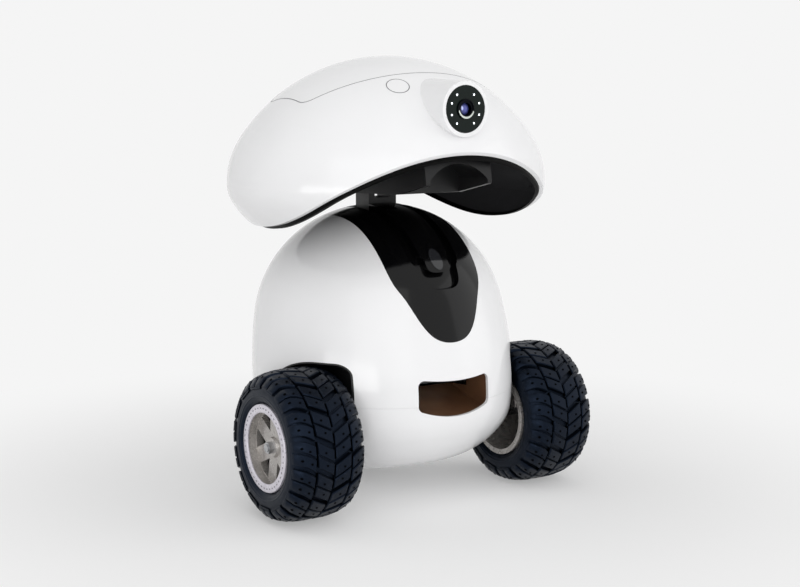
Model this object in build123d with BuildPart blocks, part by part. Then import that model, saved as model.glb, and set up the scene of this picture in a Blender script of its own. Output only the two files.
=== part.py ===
from build123d import *
import os
from math import asin, atan2, cos, hypot, pi, radians, sin, sqrt

os.makedirs("parts", exist_ok=True)

# All sizes are in millimetres. X points to the robot's left wheel side, Y points
# to its back, Z points up, and the floor is Z = 0.

# Drive wheels
tyre_radius = 57.5
tyre_width = 61.0
wheel_offset = 108.2
axle_y = -42.6
axle_z = tyre_radius

# Body: an egg that leans back, with its widest level at body_z. Each outline is a chain of
# tangent arcs, given as a radius and the angle at which it ends; one more arc, centred on
# the axis, closes the outline.
body_radius = 106.2
body_up_bends = ((331.8, 10.29), (98.9, 80.65))
body_down_bends = ((131.4, 12.64), (38.4, 40.27), (71.1, 81.88))
body_y = 7.3
body_z = 90.6
lean = 8.1
body_wall = 2.6
underside_z = 17.5
seam_z = 85.4

# Head: a dome with an oval plan, whose rim follows a cylinder that lies along X. It is
# turned with a round plan, in which every length along Y is longer by the stretch, and
# squeezed to its oval plan at the end.
head_half_width = 131.0
head_half_length = 115.8
head_up_bends = ((63.8, 34.0),)
head_down_bends = ((25.8, 32.2), (77.6, 61.6))
head_z = 249.2
head_wall = 3.0
stretch = head_half_width / head_half_length
rim_radius = 148.4
rim_axis_y = 7.7
rim_axis_z = 367.2

# Fits
seat_gap = 0.1
moving_gap = 0.4
shaft_gap = 0.05

# Wheel wells in the body
well_wall_x = 75.0
well_roof_z = 117.0
well_corner = 8.0
liner_wall = 1.2

# Black bib, its channel and the spine in the channel, as seen from the front
bib_wall = 2.0
bib_tip_z = 132.2
bib_half_width = 42.0
bib_wide_z = 206.0
bib_back_tip_z = 203.0
bib_flange = 7.0
bib_split_y = 24.0
channel_depth = 4.5
channel_half_width = 22.5
channel_tip_z = 171.5
channel_wide_z = 207.0
spine_half_width = 13.0
spine_tip_z = 184.0
spine_rise = 0.6
window_half_width = 5.2
window_half_height = 7.6
window_z = 193.5

# Treat outlet
outlet_half_width = 32.4
outlet_top_z = 103.7
outlet_top_sag = 2.4
outlet_bottom_z = 76.1
outlet_bottom_sag = 6.4
outlet_corner = 5.0

# Treat rotor, its gear and its hopper
rotor_y = -38.0
rotor_z = 116.0
rotor_radius = 23.0
rotor_half_length = 28.0
rotor_gap = 1.2
rotor_shaft_radius = 3.0
pocket_radius = 9.0
pocket_count = 4
hopper_half_width = 30.0
hopper_wall = 2.0
gear_module = 1.0
gear_teeth = 32
pinion_teeth = 12
gear_width = 4.0
gear_x = 60.0
treat_motor_radius = 8.0

# Hopper door in the back of the body
door_half_width = 29.0
door_bottom_z = 140.0
door_top_z = 190.0
door_corner = 9.0
door_pin_radius = 1.0
door_barrel_radius = 2.4
door_barrel_half = 11.0

# Chassis plate, motors, battery and board
plate_z = 40.0
plate_wall = 3.0
plate_half_width = 66.0
post_spacing_x = 80.0
post_spacing_y = 40.0
motor_radius = 12.5
motor_inner_x = 10.0
motor_length = 58.0
axle_radius = 3.0
battery_cell_radius = 9.2
battery_cell_length = 66.0
battery_cells = 3
board_z = 70.0
board_wall = 1.6

# Rear caster
caster_y = 46.0
caster_trail = 8.0
caster_radius = 13.0
caster_width = 12.0
caster_cup_radius = 25.0
caster_cup_wall = 1.6
caster_stem_radius = 4.0
caster_axle_radius = 1.5

# Rim and hub of a drive wheel, measured outwards from the tyre's middle plane
rim_ring_radius = 33.4
rim_dish_radius = 27.2
rim_face = 28.8
spoke_face = 20.0
spoke_wall = 4.0
window_count = 6
hub_radius = 8.0
hex_across = 12.0
tread_depth = 3.8
tread_pitches = 15

# Neck and nod pin
neck_y = 17.7
nod_z = 253.0
neck_half_width = 13.0
neck_half_length = 10.0
ear_wall = 5.6
ear_root_z = 236.0
nod_pin_radius = 2.0

# Chin box and lining
lining_wall = 2.2
ceiling_z = 284.0
lip_height = 2.0
chin_half_width = 30.0
chin_front_y = -100.0
chin_back_y = 40.0
chin_wall = 2.5
notch_half_width = 26.0
notch_top_z = 268.0
notch_back_y = -62.0

# Crown lid and the tray under it
lid_half_width = 92.0
lid_half_length = 54.0
lid_arc_radius = 170.0
lid_corner = 15.0
lid_wall = 2.6
tray_floor_z = 303.0
tray_rim = 2.0
lid_hinge_y = 57.0
lid_hinge_z = 331.6
lid_barrel_radius = 2.4
lid_barrel_half = 15.0
lid_pin_radius = 1.0
lid_arm_y = 49.0
lid_relief_half = 28.0

# Push button
button_x = -31.4
button_y = -63.7
button_radius = 8.6
button_travel = 1.0
button_stem_radius = 3.0
button_stem = 6.0

# Camera
camera_z = 308.5
snout_front_y = -107.0
snout_radius = 20.6
snout_root_y = -50.0
snout_root_radius = 22.8
camera_plate_radius = 17.6
camera_plate_wall = 2.2
lens_radius = 7.0
glass_bend = 6.5
lamp_ring_radius = 13.0
lamp_radius = 1.5
lamp_angles = (19, 54, 126, 161, 199, 234, 306, 341)

# The robot is drawn with Y = 0 under the middle of the head's dome. The middle of the whole
# robot is this far behind it, and the part's origin is on the floor under that middle.
origin_y = 3.14


def finish(piece, name):
    """Move a finished piece to the part's origin, label it and write it under its own name."""
    placed = piece.part.moved(Location((0, -origin_y, 0)))
    placed.label = name
    export_step(placed, f"parts/{name}.step")


def outline_arcs(radius, bends):
    """Centre, radius, start and end angle of each arc of a quarter outline, up to the axis."""
    arcs = []
    centre = Vector(radius, 0)
    last_bend, angle = 0.0, 0.0
    for bend, end_degrees in bends:
        centre = centre + Vector(cos(angle), sin(angle)) * (last_bend - bend)
        arcs.append((centre, bend, angle, radians(end_degrees)))
        last_bend, angle = bend, radians(end_degrees)
    bend = last_bend + centre.X / cos(angle)
    centre = centre + Vector(cos(angle), sin(angle)) * (last_bend - bend)
    arcs.append((centre, bend, angle, pi / 2))
    return arcs


def beyond(radius, bends, across, along):
    """How far a point lies outside a quarter outline; less than zero inside it."""
    for centre, bend, _, end in outline_arcs(radius, bends):
        if atan2(along - centre.Y, across - centre.X) <= end:
            break
    return hypot(along - centre.Y, across - centre.X) - bend


def turned_body(plane, radius, up_bends, down_bends, inset):
    """A closed body turned about the plane's own Y axis, drawn in all round by an inset."""
    poles = []
    with BuildPart() as body:
        with BuildSketch(plane):
            with BuildLine():
                for bends, side in ((up_bends, 1), (down_bends, -1)):
                    for centre, bend, start, end in outline_arcs(radius, bends):
                        reach = bend - inset
                        stops = [(start, side), ((start + end) / 2, side), (end, side)]
                        arc = ThreePointArc(
                            *[(centre.X + reach * cos(a), d * (centre.Y + reach * sin(a))) for a, d in stops]
                        )
                    poles.append(arc @ 1)
                Line(*poles)
            make_face()
        revolve(axis=Axis(plane.origin, plane.y_dir))
    return body.part


def egg(inset=0.0):
    """The body's outer form, drawn in all round by an inset."""
    tilt = radians(lean)
    plane = Plane(origin=(0, body_y, body_z), x_dir=(1, 0, 0), z_dir=(0, -cos(tilt), sin(tilt)))
    return turned_body(plane, body_radius, body_up_bends, body_down_bends, inset)


def egg_y(z, side, inset=0.0):
    """Y of the egg's surface in the middle plane at a height, in front (-1) or behind (+1)."""
    tilt = radians(lean)
    near, far = body_y, body_y + side * 2 * body_radius
    for _ in range(50):
        middle = (near + far) / 2
        across = (middle - body_y) * cos(tilt) - (z - body_z) * sin(tilt)
        along = (middle - body_y) * sin(tilt) + (z - body_z) * cos(tilt)
        bends = body_up_bends if along > 0 else body_down_bends
        if beyond(body_radius, bends, abs(across), abs(along)) < -inset:
            near = middle
        else:
            far = middle
    return near


def dome(inset=0.0):
    """The head's form without its rim, with its round plan, drawn in by an inset."""
    plane = Plane(origin=(0, 0, head_z), x_dir=(1, 0, 0), z_dir=(0, -1, 0))
    return turned_body(plane, head_half_width, head_up_bends, head_down_bends, inset)


def squeeze(body):
    """Bring a body from the round plan to the head's oval plan."""
    return scale(body, by=(1, 1 / stretch, 1), about=(0, 0, 0))


def rim_cylinder(grow=0.0):
    """The cylinder along X whose underside is the head's rim, with the round plan's lengths."""
    with BuildPart() as cylinder:
        with BuildSketch(Plane.YZ):
            with Locations((stretch * rim_axis_y, rim_axis_z)):
                Ellipse(stretch * (rim_radius + grow), rim_radius + grow)
        extrude(amount=head_half_width + 20, both=True)
    return cylinder.part


def slab(low_z, high_z):
    """A wide slab between two heights, to keep one level of a body."""
    with BuildPart() as level:
        with BuildSketch(Plane.XY.offset(low_z)):
            Rectangle(400, 400)
        extrude(amount=high_z - low_z)
    return level.part


def wheel_wells(grow=0.0):
    """The two recesses that the tyres stand in, grown all round."""
    roof_radius = well_roof_z - axle_z + grow
    with BuildPart() as wells:
        with BuildSketch(Plane.YZ.offset(well_wall_x - grow)):
            with Locations((axle_y, axle_z)):
                Circle(roof_radius)
            with Locations((axle_y, axle_z + roof_radius)):
                Rectangle(200, axle_z + roof_radius + 20, align=(Align.MAX, Align.MAX))
            with Locations((axle_y, axle_z)):
                Rectangle(roof_radius, axle_z + 20, align=(Align.MIN, Align.MAX))
        extrude(amount=2 * body_radius)
        inner = wells.faces().sort_by(Axis.X)[0].edges()
        fillet([edge for edge in inner if edge.center().Z > 0 and edge.center().Y > -130], well_corner + grow)
        mirror(about=Plane.YZ)
    return wells.part


def body_core(inset=0.0):
    """The body's form with its flat underside and wheel wells, drawn in by an inset."""
    with BuildPart() as core:
        add(egg(inset))
        split(bisect_by=Plane.XY.offset(underside_z + inset), keep=Keep.TOP)
        add(wheel_wells(liner_wall + inset), mode=Mode.SUBTRACT)
    return core.part


def front_area(tip_z, half_width, wide_z, start_y, reach, shoulder=0.55):
    """A tongue-shaped outline seen from the front, extruded along Y from start_y by reach."""
    rise = wide_z - tip_z
    with BuildPart() as area:
        with BuildSketch(Plane.XZ.offset(-start_y)):
            with BuildLine():
                curve = Spline(
                    (0, tip_z),
                    (half_width * shoulder, tip_z + rise * 0.17),
                    (half_width * 0.8, tip_z + rise * 0.45),
                    (half_width, wide_z),
                    tangents=((1, 0), (0, 1)),
                )
                Polyline(curve @ 1, (half_width, 260), (0, 260))
                mirror(about=Plane.YZ)
            make_face()
        extrude(amount=-reach)
    return area.part


def bib_area(grow=0.0):
    """The bib's outline in front and its shorter one behind."""
    with BuildPart() as area:
        add(front_area(bib_tip_z - grow, bib_half_width + grow, bib_wide_z, bib_split_y, -160))
        add(front_area(bib_back_tip_z - grow, bib_half_width + grow, bib_wide_z + 20, bib_split_y, 120))
    return area.part


def channel_area(grow=0.0):
    """The channel's outline, from behind the neck forwards."""
    start_y = neck_y + neck_half_length + 6 + grow
    return front_area(channel_tip_z - grow, channel_half_width + grow, channel_wide_z, start_y, -180, 0.7)


def spine_area(grow=0.0):
    """The spine's outline, from the neck's front face forwards."""
    start_y = neck_y - neck_half_length - 3 * seat_gap
    return front_area(spine_tip_z - grow, spine_half_width + grow, spine_tip_z + 22, start_y, -160, 0.8)


def window_area(grow=0.0):
    """The oval window in the spine, seen from the front."""
    with BuildPart() as area:
        with BuildSketch(Plane.XZ.offset(20)):
            with Locations((0, window_z)):
                Ellipse(window_half_width + grow, window_half_height + grow)
        extrude(amount=120)
    return area.part


def outlet_area(grow=0.0):
    """The treat outlet seen from the front, with a sagging top and a bowed bottom edge."""
    half = outlet_half_width + grow
    top = outlet_top_z + grow
    bottom = outlet_bottom_z - grow
    with BuildPart() as area:
        with BuildSketch(Plane.XZ.offset(60)):
            with BuildLine():
                ThreePointArc((-half, top + outlet_top_sag), (0, top), (half, top + outlet_top_sag))
                Line((half, top + outlet_top_sag), (half, bottom + outlet_bottom_sag))
                ThreePointArc((half, bottom + outlet_bottom_sag), (0, bottom), (-half, bottom + outlet_bottom_sag))
                Line((-half, bottom + outlet_bottom_sag), (-half, top + outlet_top_sag))
            outline = make_face()
            fillet(outline.vertices(), outlet_corner + grow)
        extrude(amount=80)
    return area.part


def door_area(grow=0.0):
    """The hopper door seen from behind."""
    with BuildPart() as area:
        with BuildSketch(Plane.XZ.offset(-50)):
            with Locations((0, (door_bottom_z + door_top_z) / 2)):
                RectangleRounded(
                    2 * (door_half_width + grow), door_top_z - door_bottom_z + 2 * grow, door_corner + grow
                )
        extrude(amount=-90)
    return area.part


def lid_outline(grow=0.0):
    """The crown lid's plan, two wide arcs with blunt ends, with the round plan's lengths."""
    arc_centre = stretch * (lid_arc_radius - lid_half_length)
    reach = lid_arc_radius + grow
    with BuildPart() as area:
        with BuildSketch(Plane.XY.offset(tray_floor_z)) as plan:
            Rectangle(2 * (lid_half_width + grow), 2 * stretch * (lid_half_length + grow))
            with Locations((0, arc_centre)):
                Ellipse(reach, stretch * reach, mode=Mode.INTERSECT)
            with Locations((0, -arc_centre)):
                Ellipse(reach, stretch * reach, mode=Mode.INTERSECT)
            corners = [v for v in plan.vertices() if abs(v.X) > lid_half_width + grow - 1]
            fillet(corners, lid_corner + grow)
        extrude(amount=80)
    return area.part


def snout(front_y, inset=0.0):
    """The cone round the camera from a front level back into the dome, with the round plan's lengths."""
    with BuildPart() as cone:
        with BuildSketch(Plane(origin=(0, 0, camera_z), x_dir=(0, 1, 0), z_dir=(-1, 0, 0))):
            Polygon(
                (stretch * front_y, 0),
                (stretch * front_y, snout_radius - inset),
                (stretch * snout_root_y, snout_root_radius - inset),
                (stretch * snout_root_y, 0),
                align=None,
            )
        revolve(axis=Axis((0, 0, camera_z), (0, 1, 0)))
    return cone.part


def button_plane():
    """Plane on the crown at the push button, with its normal along the button's travel."""
    centre, crown_radius, _, _ = outline_arcs(head_half_width, head_up_bends)[-1]
    crown_z = head_z + centre.Y
    height = sqrt(crown_radius**2 - button_x**2 - (stretch * button_y) ** 2)
    normal = Vector(button_x, stretch**2 * button_y, height)
    return Plane(
        origin=(button_x, button_y, crown_z + height), x_dir=(1, 0, 0), z_dir=normal.normalized()
    )


def crown_block(inset, width, length, x, y):
    """A piece of the dome's wall over a rectangle of its plan, brought to the oval plan."""
    with BuildPart() as block:
        with BuildSketch(Plane.XY.offset(head_z + 30)):
            with Locations((x, stretch * y)):
                Rectangle(width, stretch * length)
        extrude(amount=100)
        add(dome(), mode=Mode.INTERSECT)
        add(dome(inset), mode=Mode.SUBTRACT)
    return squeeze(block.part)


def gear(teeth, width, bore, plane, first_angle):
    """A spur gear with straight-sided teeth; the first tooth points at first_angle."""
    pitch_radius = gear_module * teeth / 2
    half_tooth = gear_module * pi / 4 - 0.12
    tip = pitch_radius + 0.8 * gear_module
    root = pitch_radius - 1.15 * gear_module
    with BuildPart() as wheel:
        with BuildSketch(plane):
            Circle(root)
            with PolarLocations(0, teeth, start_angle=first_angle):
                Polygon(
                    (root - 0.3, -half_tooth * 1.5),
                    (pitch_radius, -half_tooth),
                    (tip, -half_tooth * 0.5),
                    (tip, half_tooth * 0.5),
                    (pitch_radius, half_tooth),
                    (root - 0.3, half_tooth * 1.5),
                    align=None,
                )
            Circle(bore, mode=Mode.SUBTRACT)
        extrude(amount=width)
    return wheel.part


# Shared forms
outer_core = body_core()
inner_core = body_core(body_wall)

# Channel cut in the bib and its floor
with BuildPart() as channel_void:
    add(channel_area())
    add(egg(channel_depth), mode=Mode.SUBTRACT)

with BuildPart() as channel_block:
    add(channel_area(bib_wall))
    add(egg(), mode=Mode.INTERSECT)
    add(egg(channel_depth + bib_wall), mode=Mode.SUBTRACT)

# Seat of the bib in the upper shell
with BuildPart() as bib_seat:
    add(bib_area(seat_gap))
    add(egg(bib_wall + seat_gap), mode=Mode.SUBTRACT)

# Notch for the door's barrel and arm in the upper shell, and the bore for its pin
door_pin_z = door_bottom_z - 3.5
door_pin_y = egg_y(door_pin_z, 1) - 1.4
with BuildPart() as door_notch:
    with BuildSketch(Plane.YZ.offset(-door_barrel_half - moving_gap)):
        with Locations((door_pin_y, door_pin_z)):
            Circle(door_barrel_radius + moving_gap)
            Rectangle(12, door_bottom_z - door_pin_z + 1, align=(Align.CENTER, Align.MIN))
    extrude(amount=2 * (door_barrel_half + moving_gap))

with BuildPart() as door_pin_bore:
    with BuildSketch(Plane.YZ.offset(-door_barrel_half - 4)):
        with Locations((door_pin_y, door_pin_z)):
            Circle(door_pin_radius)
    extrude(amount=2 * (door_barrel_half + 4))

# Thicker wall of the upper shell under the bib's edge
with BuildPart() as bib_ledge:
    add(bib_area(2.5))
    add(egg(body_wall - 0.5), mode=Mode.INTERSECT)
    add(egg(bib_wall + 2.4), mode=Mode.SUBTRACT)

# White upper shell
with BuildPart() as upper_shell:
    add(outer_core)
    add(inner_core, mode=Mode.SUBTRACT)
    split(bisect_by=Plane.XY.offset(seam_z + seat_gap), keep=Keep.TOP)
    add(bib_ledge.part)
    add(bib_seat.part, mode=Mode.SUBTRACT)
    add(bib_area(-bib_flange), mode=Mode.SUBTRACT)
    add(outlet_area(), mode=Mode.SUBTRACT)
    add(door_area(seat_gap * 3), mode=Mode.SUBTRACT)
    add(door_notch.part, mode=Mode.SUBTRACT)
    add(door_pin_bore.part, mode=Mode.SUBTRACT)
    with BuildSketch(Plane.XZ.offset(-80)):
        with GridLocations(0, 4.4, 1, 5):
            with Locations((0, 112)):
                SlotOverall(44, 2.0)
    extrude(amount=-60, mode=Mode.SUBTRACT)
finish(upper_shell, "upper_shell")

# White lower tub, with a lip that stands up inside the upper shell and posts for the plate
with BuildPart() as tub_lip:
    add(body_core(body_wall + seat_gap))
    add(body_core(body_wall + 1.4), mode=Mode.SUBTRACT)
    add(slab(seam_z - 5, seam_z + 4), mode=Mode.INTERSECT)
    add(outlet_area(2.5), mode=Mode.SUBTRACT)

with BuildPart() as lip_root:
    add(body_core(body_wall - 0.5))
    add(body_core(body_wall + 1.4), mode=Mode.SUBTRACT)
    add(slab(seam_z - 5, seam_z - 2), mode=Mode.INTERSECT)
    add(outlet_area(2.5), mode=Mode.SUBTRACT)

with BuildPart() as plate_posts:
    with BuildSketch(Plane.XY.offset(underside_z)):
        with GridLocations(post_spacing_x, post_spacing_y, 2, 2):
            Circle(3.5)
    extrude(amount=plate_z - underside_z)
    with BuildSketch(Plane.XY.offset(plate_z - 9)):
        with GridLocations(post_spacing_x, post_spacing_y, 2, 2):
            Circle(1.4)
    extrude(amount=9, mode=Mode.SUBTRACT)
    add(egg(1.0), mode=Mode.INTERSECT)

with BuildPart() as lower_tub:
    add(outer_core)
    add(inner_core, mode=Mode.SUBTRACT)
    split(bisect_by=Plane.XY.offset(seam_z), keep=Keep.BOTTOM)
    add(lip_root.part)
    add(tub_lip.part)
    add(outlet_area(), mode=Mode.SUBTRACT)
    with BuildSketch(Plane.XY.offset(underside_z)):
        with Locations((0, caster_y)):
            Circle(caster_cup_radius + seat_gap)
    extrude(amount=plate_z - underside_z, both=True, mode=Mode.SUBTRACT)
    with BuildSketch(Plane.YZ):
        with Locations((axle_y, axle_z)):
            Circle(axle_radius + 1.5)
    extrude(amount=body_radius, both=True, mode=Mode.SUBTRACT)
    with BuildSketch(Plane.XZ.offset(-60)):
        with Locations((0, 58)):
            Circle(6.0)
    extrude(amount=-60, mode=Mode.SUBTRACT)
    add(plate_posts.part)
finish(lower_tub, "lower_tub")

# Glossy black bib with its channel
with BuildPart() as bib:
    add(bib_area())
    add(egg(), mode=Mode.INTERSECT)
    add(egg(bib_wall), mode=Mode.SUBTRACT)
    add(channel_block.part)
    add(channel_void.part, mode=Mode.SUBTRACT)
    with BuildSketch(Plane.XY.offset(200)):
        with Locations((0, neck_y)):
            Rectangle(2 * (neck_half_width + seat_gap), 2 * (neck_half_length + seat_gap))
    extrude(amount=60, mode=Mode.SUBTRACT)
finish(bib, "bib")

# Spine in the channel, with a pocket for its oval window
with BuildPart() as window_pocket:
    add(window_area(seat_gap))
    add(egg(1.6), mode=Mode.SUBTRACT)

with BuildPart() as spine_cover:
    add(spine_area())
    add(egg(-spine_rise), mode=Mode.INTERSECT)
    add(egg(channel_depth - seat_gap), mode=Mode.SUBTRACT)
    add(window_pocket.part, mode=Mode.SUBTRACT)
finish(spine_cover, "spine_cover")

with BuildPart() as sensor_window:
    add(window_area())
    add(egg(-spine_rise - 0.3), mode=Mode.INTERSECT)
    add(egg(1.5), mode=Mode.SUBTRACT)
finish(sensor_window, "sensor_window")

# Black wheel-well liners
with BuildPart() as liners:
    add(wheel_wells(liner_wall - seat_gap))
    add(wheel_wells(), mode=Mode.SUBTRACT)
    add(egg(), mode=Mode.INTERSECT)
    split(bisect_by=Plane.XY.offset(underside_z), keep=Keep.TOP)
    with BuildSketch(Plane.YZ):
        with Locations((axle_y, axle_z)):
            Circle(axle_radius + 1.5)
    extrude(amount=100, both=True, mode=Mode.SUBTRACT)

for name, keep in (("right_wheel_liner", Keep.BOTTOM), ("left_wheel_liner", Keep.TOP)):
    with BuildPart() as wheel_liner:
        add(liners.part)
        split(bisect_by=Plane.YZ, keep=keep)
    finish(wheel_liner, name)

# Chassis plate, with a hole for the caster's stem
with BuildPart() as chassis_plate:
    with BuildSketch(Plane.XY.offset(plate_z)):
        with Locations((0, 5)):
            RectangleRounded(2 * plate_half_width, 130, 14)
        with Locations((0, caster_y)):
            Circle(caster_stem_radius + 3, mode=Mode.SUBTRACT)
        with GridLocations(post_spacing_x, post_spacing_y, 2, 2):
            Circle(1.5, mode=Mode.SUBTRACT)
    extrude(amount=plate_wall)
    add(egg(body_wall + 3 * seat_gap), mode=Mode.INTERSECT)
finish(chassis_plate, "chassis_plate")

# Underside screws that hold the plate to the tub's posts
with BuildPart() as chassis_screws:
    with BuildSketch(Plane.XY.offset(plate_z + plate_wall)):
        with GridLocations(post_spacing_x, post_spacing_y, 2, 2):
            Circle(3.0)
    extrude(amount=2.2)
    with BuildSketch(Plane.XY.offset(plate_z - 8)):
        with GridLocations(post_spacing_x, post_spacing_y, 2, 2):
            Circle(1.4)
    extrude(amount=8 + plate_wall)
finish(chassis_screws, "chassis_screws")

# Drive motors, back to back, with a stepped nose that carries the axle
with BuildPart() as left_gear_motor:
    with BuildSketch(Plane.YZ.offset(motor_inner_x)):
        with Locations((axle_y, axle_z)):
            Circle(motor_radius)
    extrude(amount=motor_length * 0.55)
    with BuildSketch(Plane.YZ.offset(motor_inner_x + motor_length * 0.55)):
        with Locations((axle_y, axle_z)):
            Circle(motor_radius - 0.8)
    extrude(amount=motor_length * 0.40)
    with BuildSketch(Plane.YZ.offset(motor_inner_x + motor_length * 0.95)):
        with Locations((axle_y, axle_z)):
            Circle(axle_radius + 3)
    extrude(amount=motor_length * 0.05)
    fillet(left_gear_motor.faces().sort_by(Axis.X)[0].edges(), 2)
    with BuildSketch(Plane.YZ.offset(motor_inner_x + motor_length * 0.6)):
        with Locations((axle_y, axle_z)):
            Circle(axle_radius + shaft_gap)
    extrude(amount=motor_length, mode=Mode.SUBTRACT)
finish(left_gear_motor, "left_gear_motor")

with BuildPart() as right_gear_motor:
    mirror(left_gear_motor.part, about=Plane.YZ)
finish(right_gear_motor, "right_gear_motor")

# Saddle brackets that clamp the motors to the plate
with BuildPart() as motor_brackets:
    for x in (18, 46):
        with BuildSketch(Plane.YZ.offset(x)):
            with Locations((axle_y, axle_z)):
                Circle(motor_radius + 2)
            with Locations((axle_y, plate_z + plate_wall)):
                Rectangle(2 * motor_radius + 4, axle_z - plate_z - plate_wall, align=(Align.CENTER, Align.MIN))
                Rectangle(32, 2.5, align=(Align.CENTER, Align.MIN))
            with Locations((axle_y, axle_z)):
                Circle(motor_radius + seat_gap, mode=Mode.SUBTRACT)
        extrude(amount=8)
    mirror(about=Plane.YZ)
finish(motor_brackets, "motor_brackets")

# Battery pack of round cells in one sleeve
battery_y = 32.0
battery_z = plate_z + plate_wall + battery_cell_radius + 0.8
with BuildPart() as battery_pack:
    with BuildSketch(Plane.YZ.offset(-battery_cell_length / 2)):
        with Locations((battery_y, battery_z)):
            with GridLocations(2 * battery_cell_radius, 0, battery_cells, 1):
                Circle(battery_cell_radius + 0.8)
            Rectangle(2 * battery_cell_radius * (battery_cells - 1), 2 * battery_cell_radius - 4)
    extrude(amount=battery_cell_length)
finish(battery_pack, "battery_pack")

# Main board on four standoffs
board_y = 30.0
with BuildPart() as main_board:
    with BuildSketch(Plane.XY.offset(board_z)):
        with Locations((0, board_y)):
            RectangleRounded(96, 72, 3)
    extrude(amount=board_wall)
    with BuildSketch(Plane.XY.offset(board_z + board_wall)):
        with Locations((-12, board_y + 8)):
            Rectangle(22, 22)
        with Locations((24, board_y - 14)):
            Rectangle(30, 16)
        with Locations((-34, board_y - 20)):
            Rectangle(12, 9)
    extrude(amount=3)
finish(main_board, "main_board")

with BuildPart() as board_standoffs:
    with BuildSketch(Plane.XY.offset(plate_z + plate_wall)):
        with Locations((0, board_y)):
            with GridLocations(86, 62, 2, 2):
                RegularPolygon(3.2, 6)
    extrude(amount=board_z - plate_z - plate_wall)
finish(board_standoffs, "board_standoffs")

# Hopper: side walls, a floor that slopes down to the rotor, and the rotor's cradle
hopper_back_y = egg_y(door_top_z, 1, body_wall) - 1.0
hopper_low_y = egg_y(door_bottom_z + 6, 1, body_wall) - 3.0
cradle = rotor_radius + rotor_gap
hopper_points = (
    (rotor_y - 4, 199),
    (rotor_y - cradle - hopper_wall, rotor_z + 32),
    (rotor_y - cradle - hopper_wall, rotor_z),
    (rotor_y, rotor_z),
    (rotor_y, rotor_z - cradle - hopper_wall),
    (rotor_y + cradle + hopper_wall, rotor_z - cradle - hopper_wall),
    (rotor_y + cradle + hopper_wall, rotor_z + 14),
    (hopper_low_y, door_bottom_z + 4),
    (hopper_back_y, door_top_z - 2),
    (hopper_back_y, 199),
)
hopper_room = (
    (rotor_y - 4 + hopper_wall, 199 - hopper_wall),
    (rotor_y - cradle, rotor_z + 31),
    (rotor_y - cradle, rotor_z),
    (rotor_y + cradle, rotor_z),
    (rotor_y + cradle, rotor_z + 14 + hopper_wall),
    (hopper_low_y + 20, door_bottom_z + 4 + hopper_wall * 3),
    (hopper_back_y + 20, 199 - hopper_wall),
)
with BuildPart() as hopper_tank:
    with BuildSketch(Plane.YZ.offset(-hopper_half_width - hopper_wall)):
        Polygon(*hopper_points, align=None)
    extrude(amount=2 * (hopper_half_width + hopper_wall))
    with BuildSketch(Plane.YZ.offset(-hopper_half_width)):
        Polygon(*hopper_room, align=None)
        with Locations((rotor_y, rotor_z)):
            Circle(cradle)
    extrude(amount=2 * hopper_half_width, mode=Mode.SUBTRACT)
    with BuildSketch(Plane.YZ.offset(-hopper_half_width - hopper_wall)):
        with Locations((rotor_y, rotor_z)):
            Circle(rotor_shaft_radius + shaft_gap)
    extrude(amount=2 * (hopper_half_width + hopper_wall), mode=Mode.SUBTRACT)
    add(egg(body_wall + seat_gap), mode=Mode.INTERSECT)
finish(hopper_tank, "hopper_tank")

# Brown chute: a curved ramp between two cheeks, from the rotor to the outlet
outlet_skin_y = egg_y(outlet_bottom_z, -1, body_wall) + 0.6
chute_half = outlet_half_width + 1.5
with BuildPart() as treat_chute:
    with BuildSketch(Plane.YZ.offset(-chute_half)):
        with BuildLine():
            ramp = ThreePointArc(
                (outlet_skin_y, outlet_bottom_z - 0.5),
                (outlet_skin_y + 24, outlet_bottom_z + 5.5),
                (rotor_y - 6, rotor_z - cradle - hopper_wall - 0.4),
            )
            Line(ramp @ 1, ramp @ 1 + Vector(0, -hopper_wall))
            low = ThreePointArc(
                ramp @ 1 + Vector(0, -hopper_wall),
                (outlet_skin_y + 24, outlet_bottom_z + 5.5 - hopper_wall),
                (outlet_skin_y + 0.6, outlet_bottom_z - 0.5 - hopper_wall),
            )
            Line(low @ 1, ramp @ 0)
        make_face()
    extrude(amount=2 * chute_half)
    for x in (-chute_half, chute_half - hopper_wall):
        with BuildSketch(Plane.YZ.offset(x)):
            Polygon(
                (outlet_skin_y + 0.6, outlet_bottom_z - 0.5 - hopper_wall),
                (outlet_skin_y - 1, outlet_top_z + 5),
                (rotor_y - cradle - hopper_wall - 1, outlet_top_z + 5),
                (rotor_y - cradle - hopper_wall - 1, rotor_z - cradle - 1),
                (rotor_y - 6, rotor_z - cradle - hopper_wall - 1),
                (outlet_skin_y + 24, outlet_bottom_z + 4.5),
                align=None,
            )
        extrude(amount=hopper_wall)
    add(egg(body_wall + 0.2), mode=Mode.INTERSECT)
finish(treat_chute, "treat_chute")

# Treat rotor: a drum with round pockets on a shaft
with BuildPart() as treat_rotor:
    with BuildSketch(Plane.YZ.offset(-rotor_half_length)):
        with Locations((rotor_y, rotor_z)):
            Circle(rotor_radius)
            with PolarLocations(rotor_radius + 1, pocket_count, start_angle=45):
                Circle(pocket_radius, mode=Mode.SUBTRACT)
            Circle(rotor_shaft_radius, mode=Mode.SUBTRACT)
    extrude(amount=2 * rotor_half_length)
finish(treat_rotor, "treat_rotor")

with BuildPart() as rotor_shaft:
    with BuildSketch(Plane.YZ.offset(-hopper_half_width - hopper_wall - 3)):
        with Locations((rotor_y, rotor_z)):
            Circle(rotor_shaft_radius)
    extrude(amount=gear_x + gear_width + hopper_half_width + hopper_wall + 4)
finish(rotor_shaft, "rotor_shaft")

gear_plane = Plane(origin=(gear_x, rotor_y, rotor_z), x_dir=(0, 1, 0), z_dir=(1, 0, 0))
with BuildPart() as rotor_gear:
    add(gear(gear_teeth, gear_width, rotor_shaft_radius, gear_plane, 0))
finish(rotor_gear, "rotor_gear")

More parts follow.
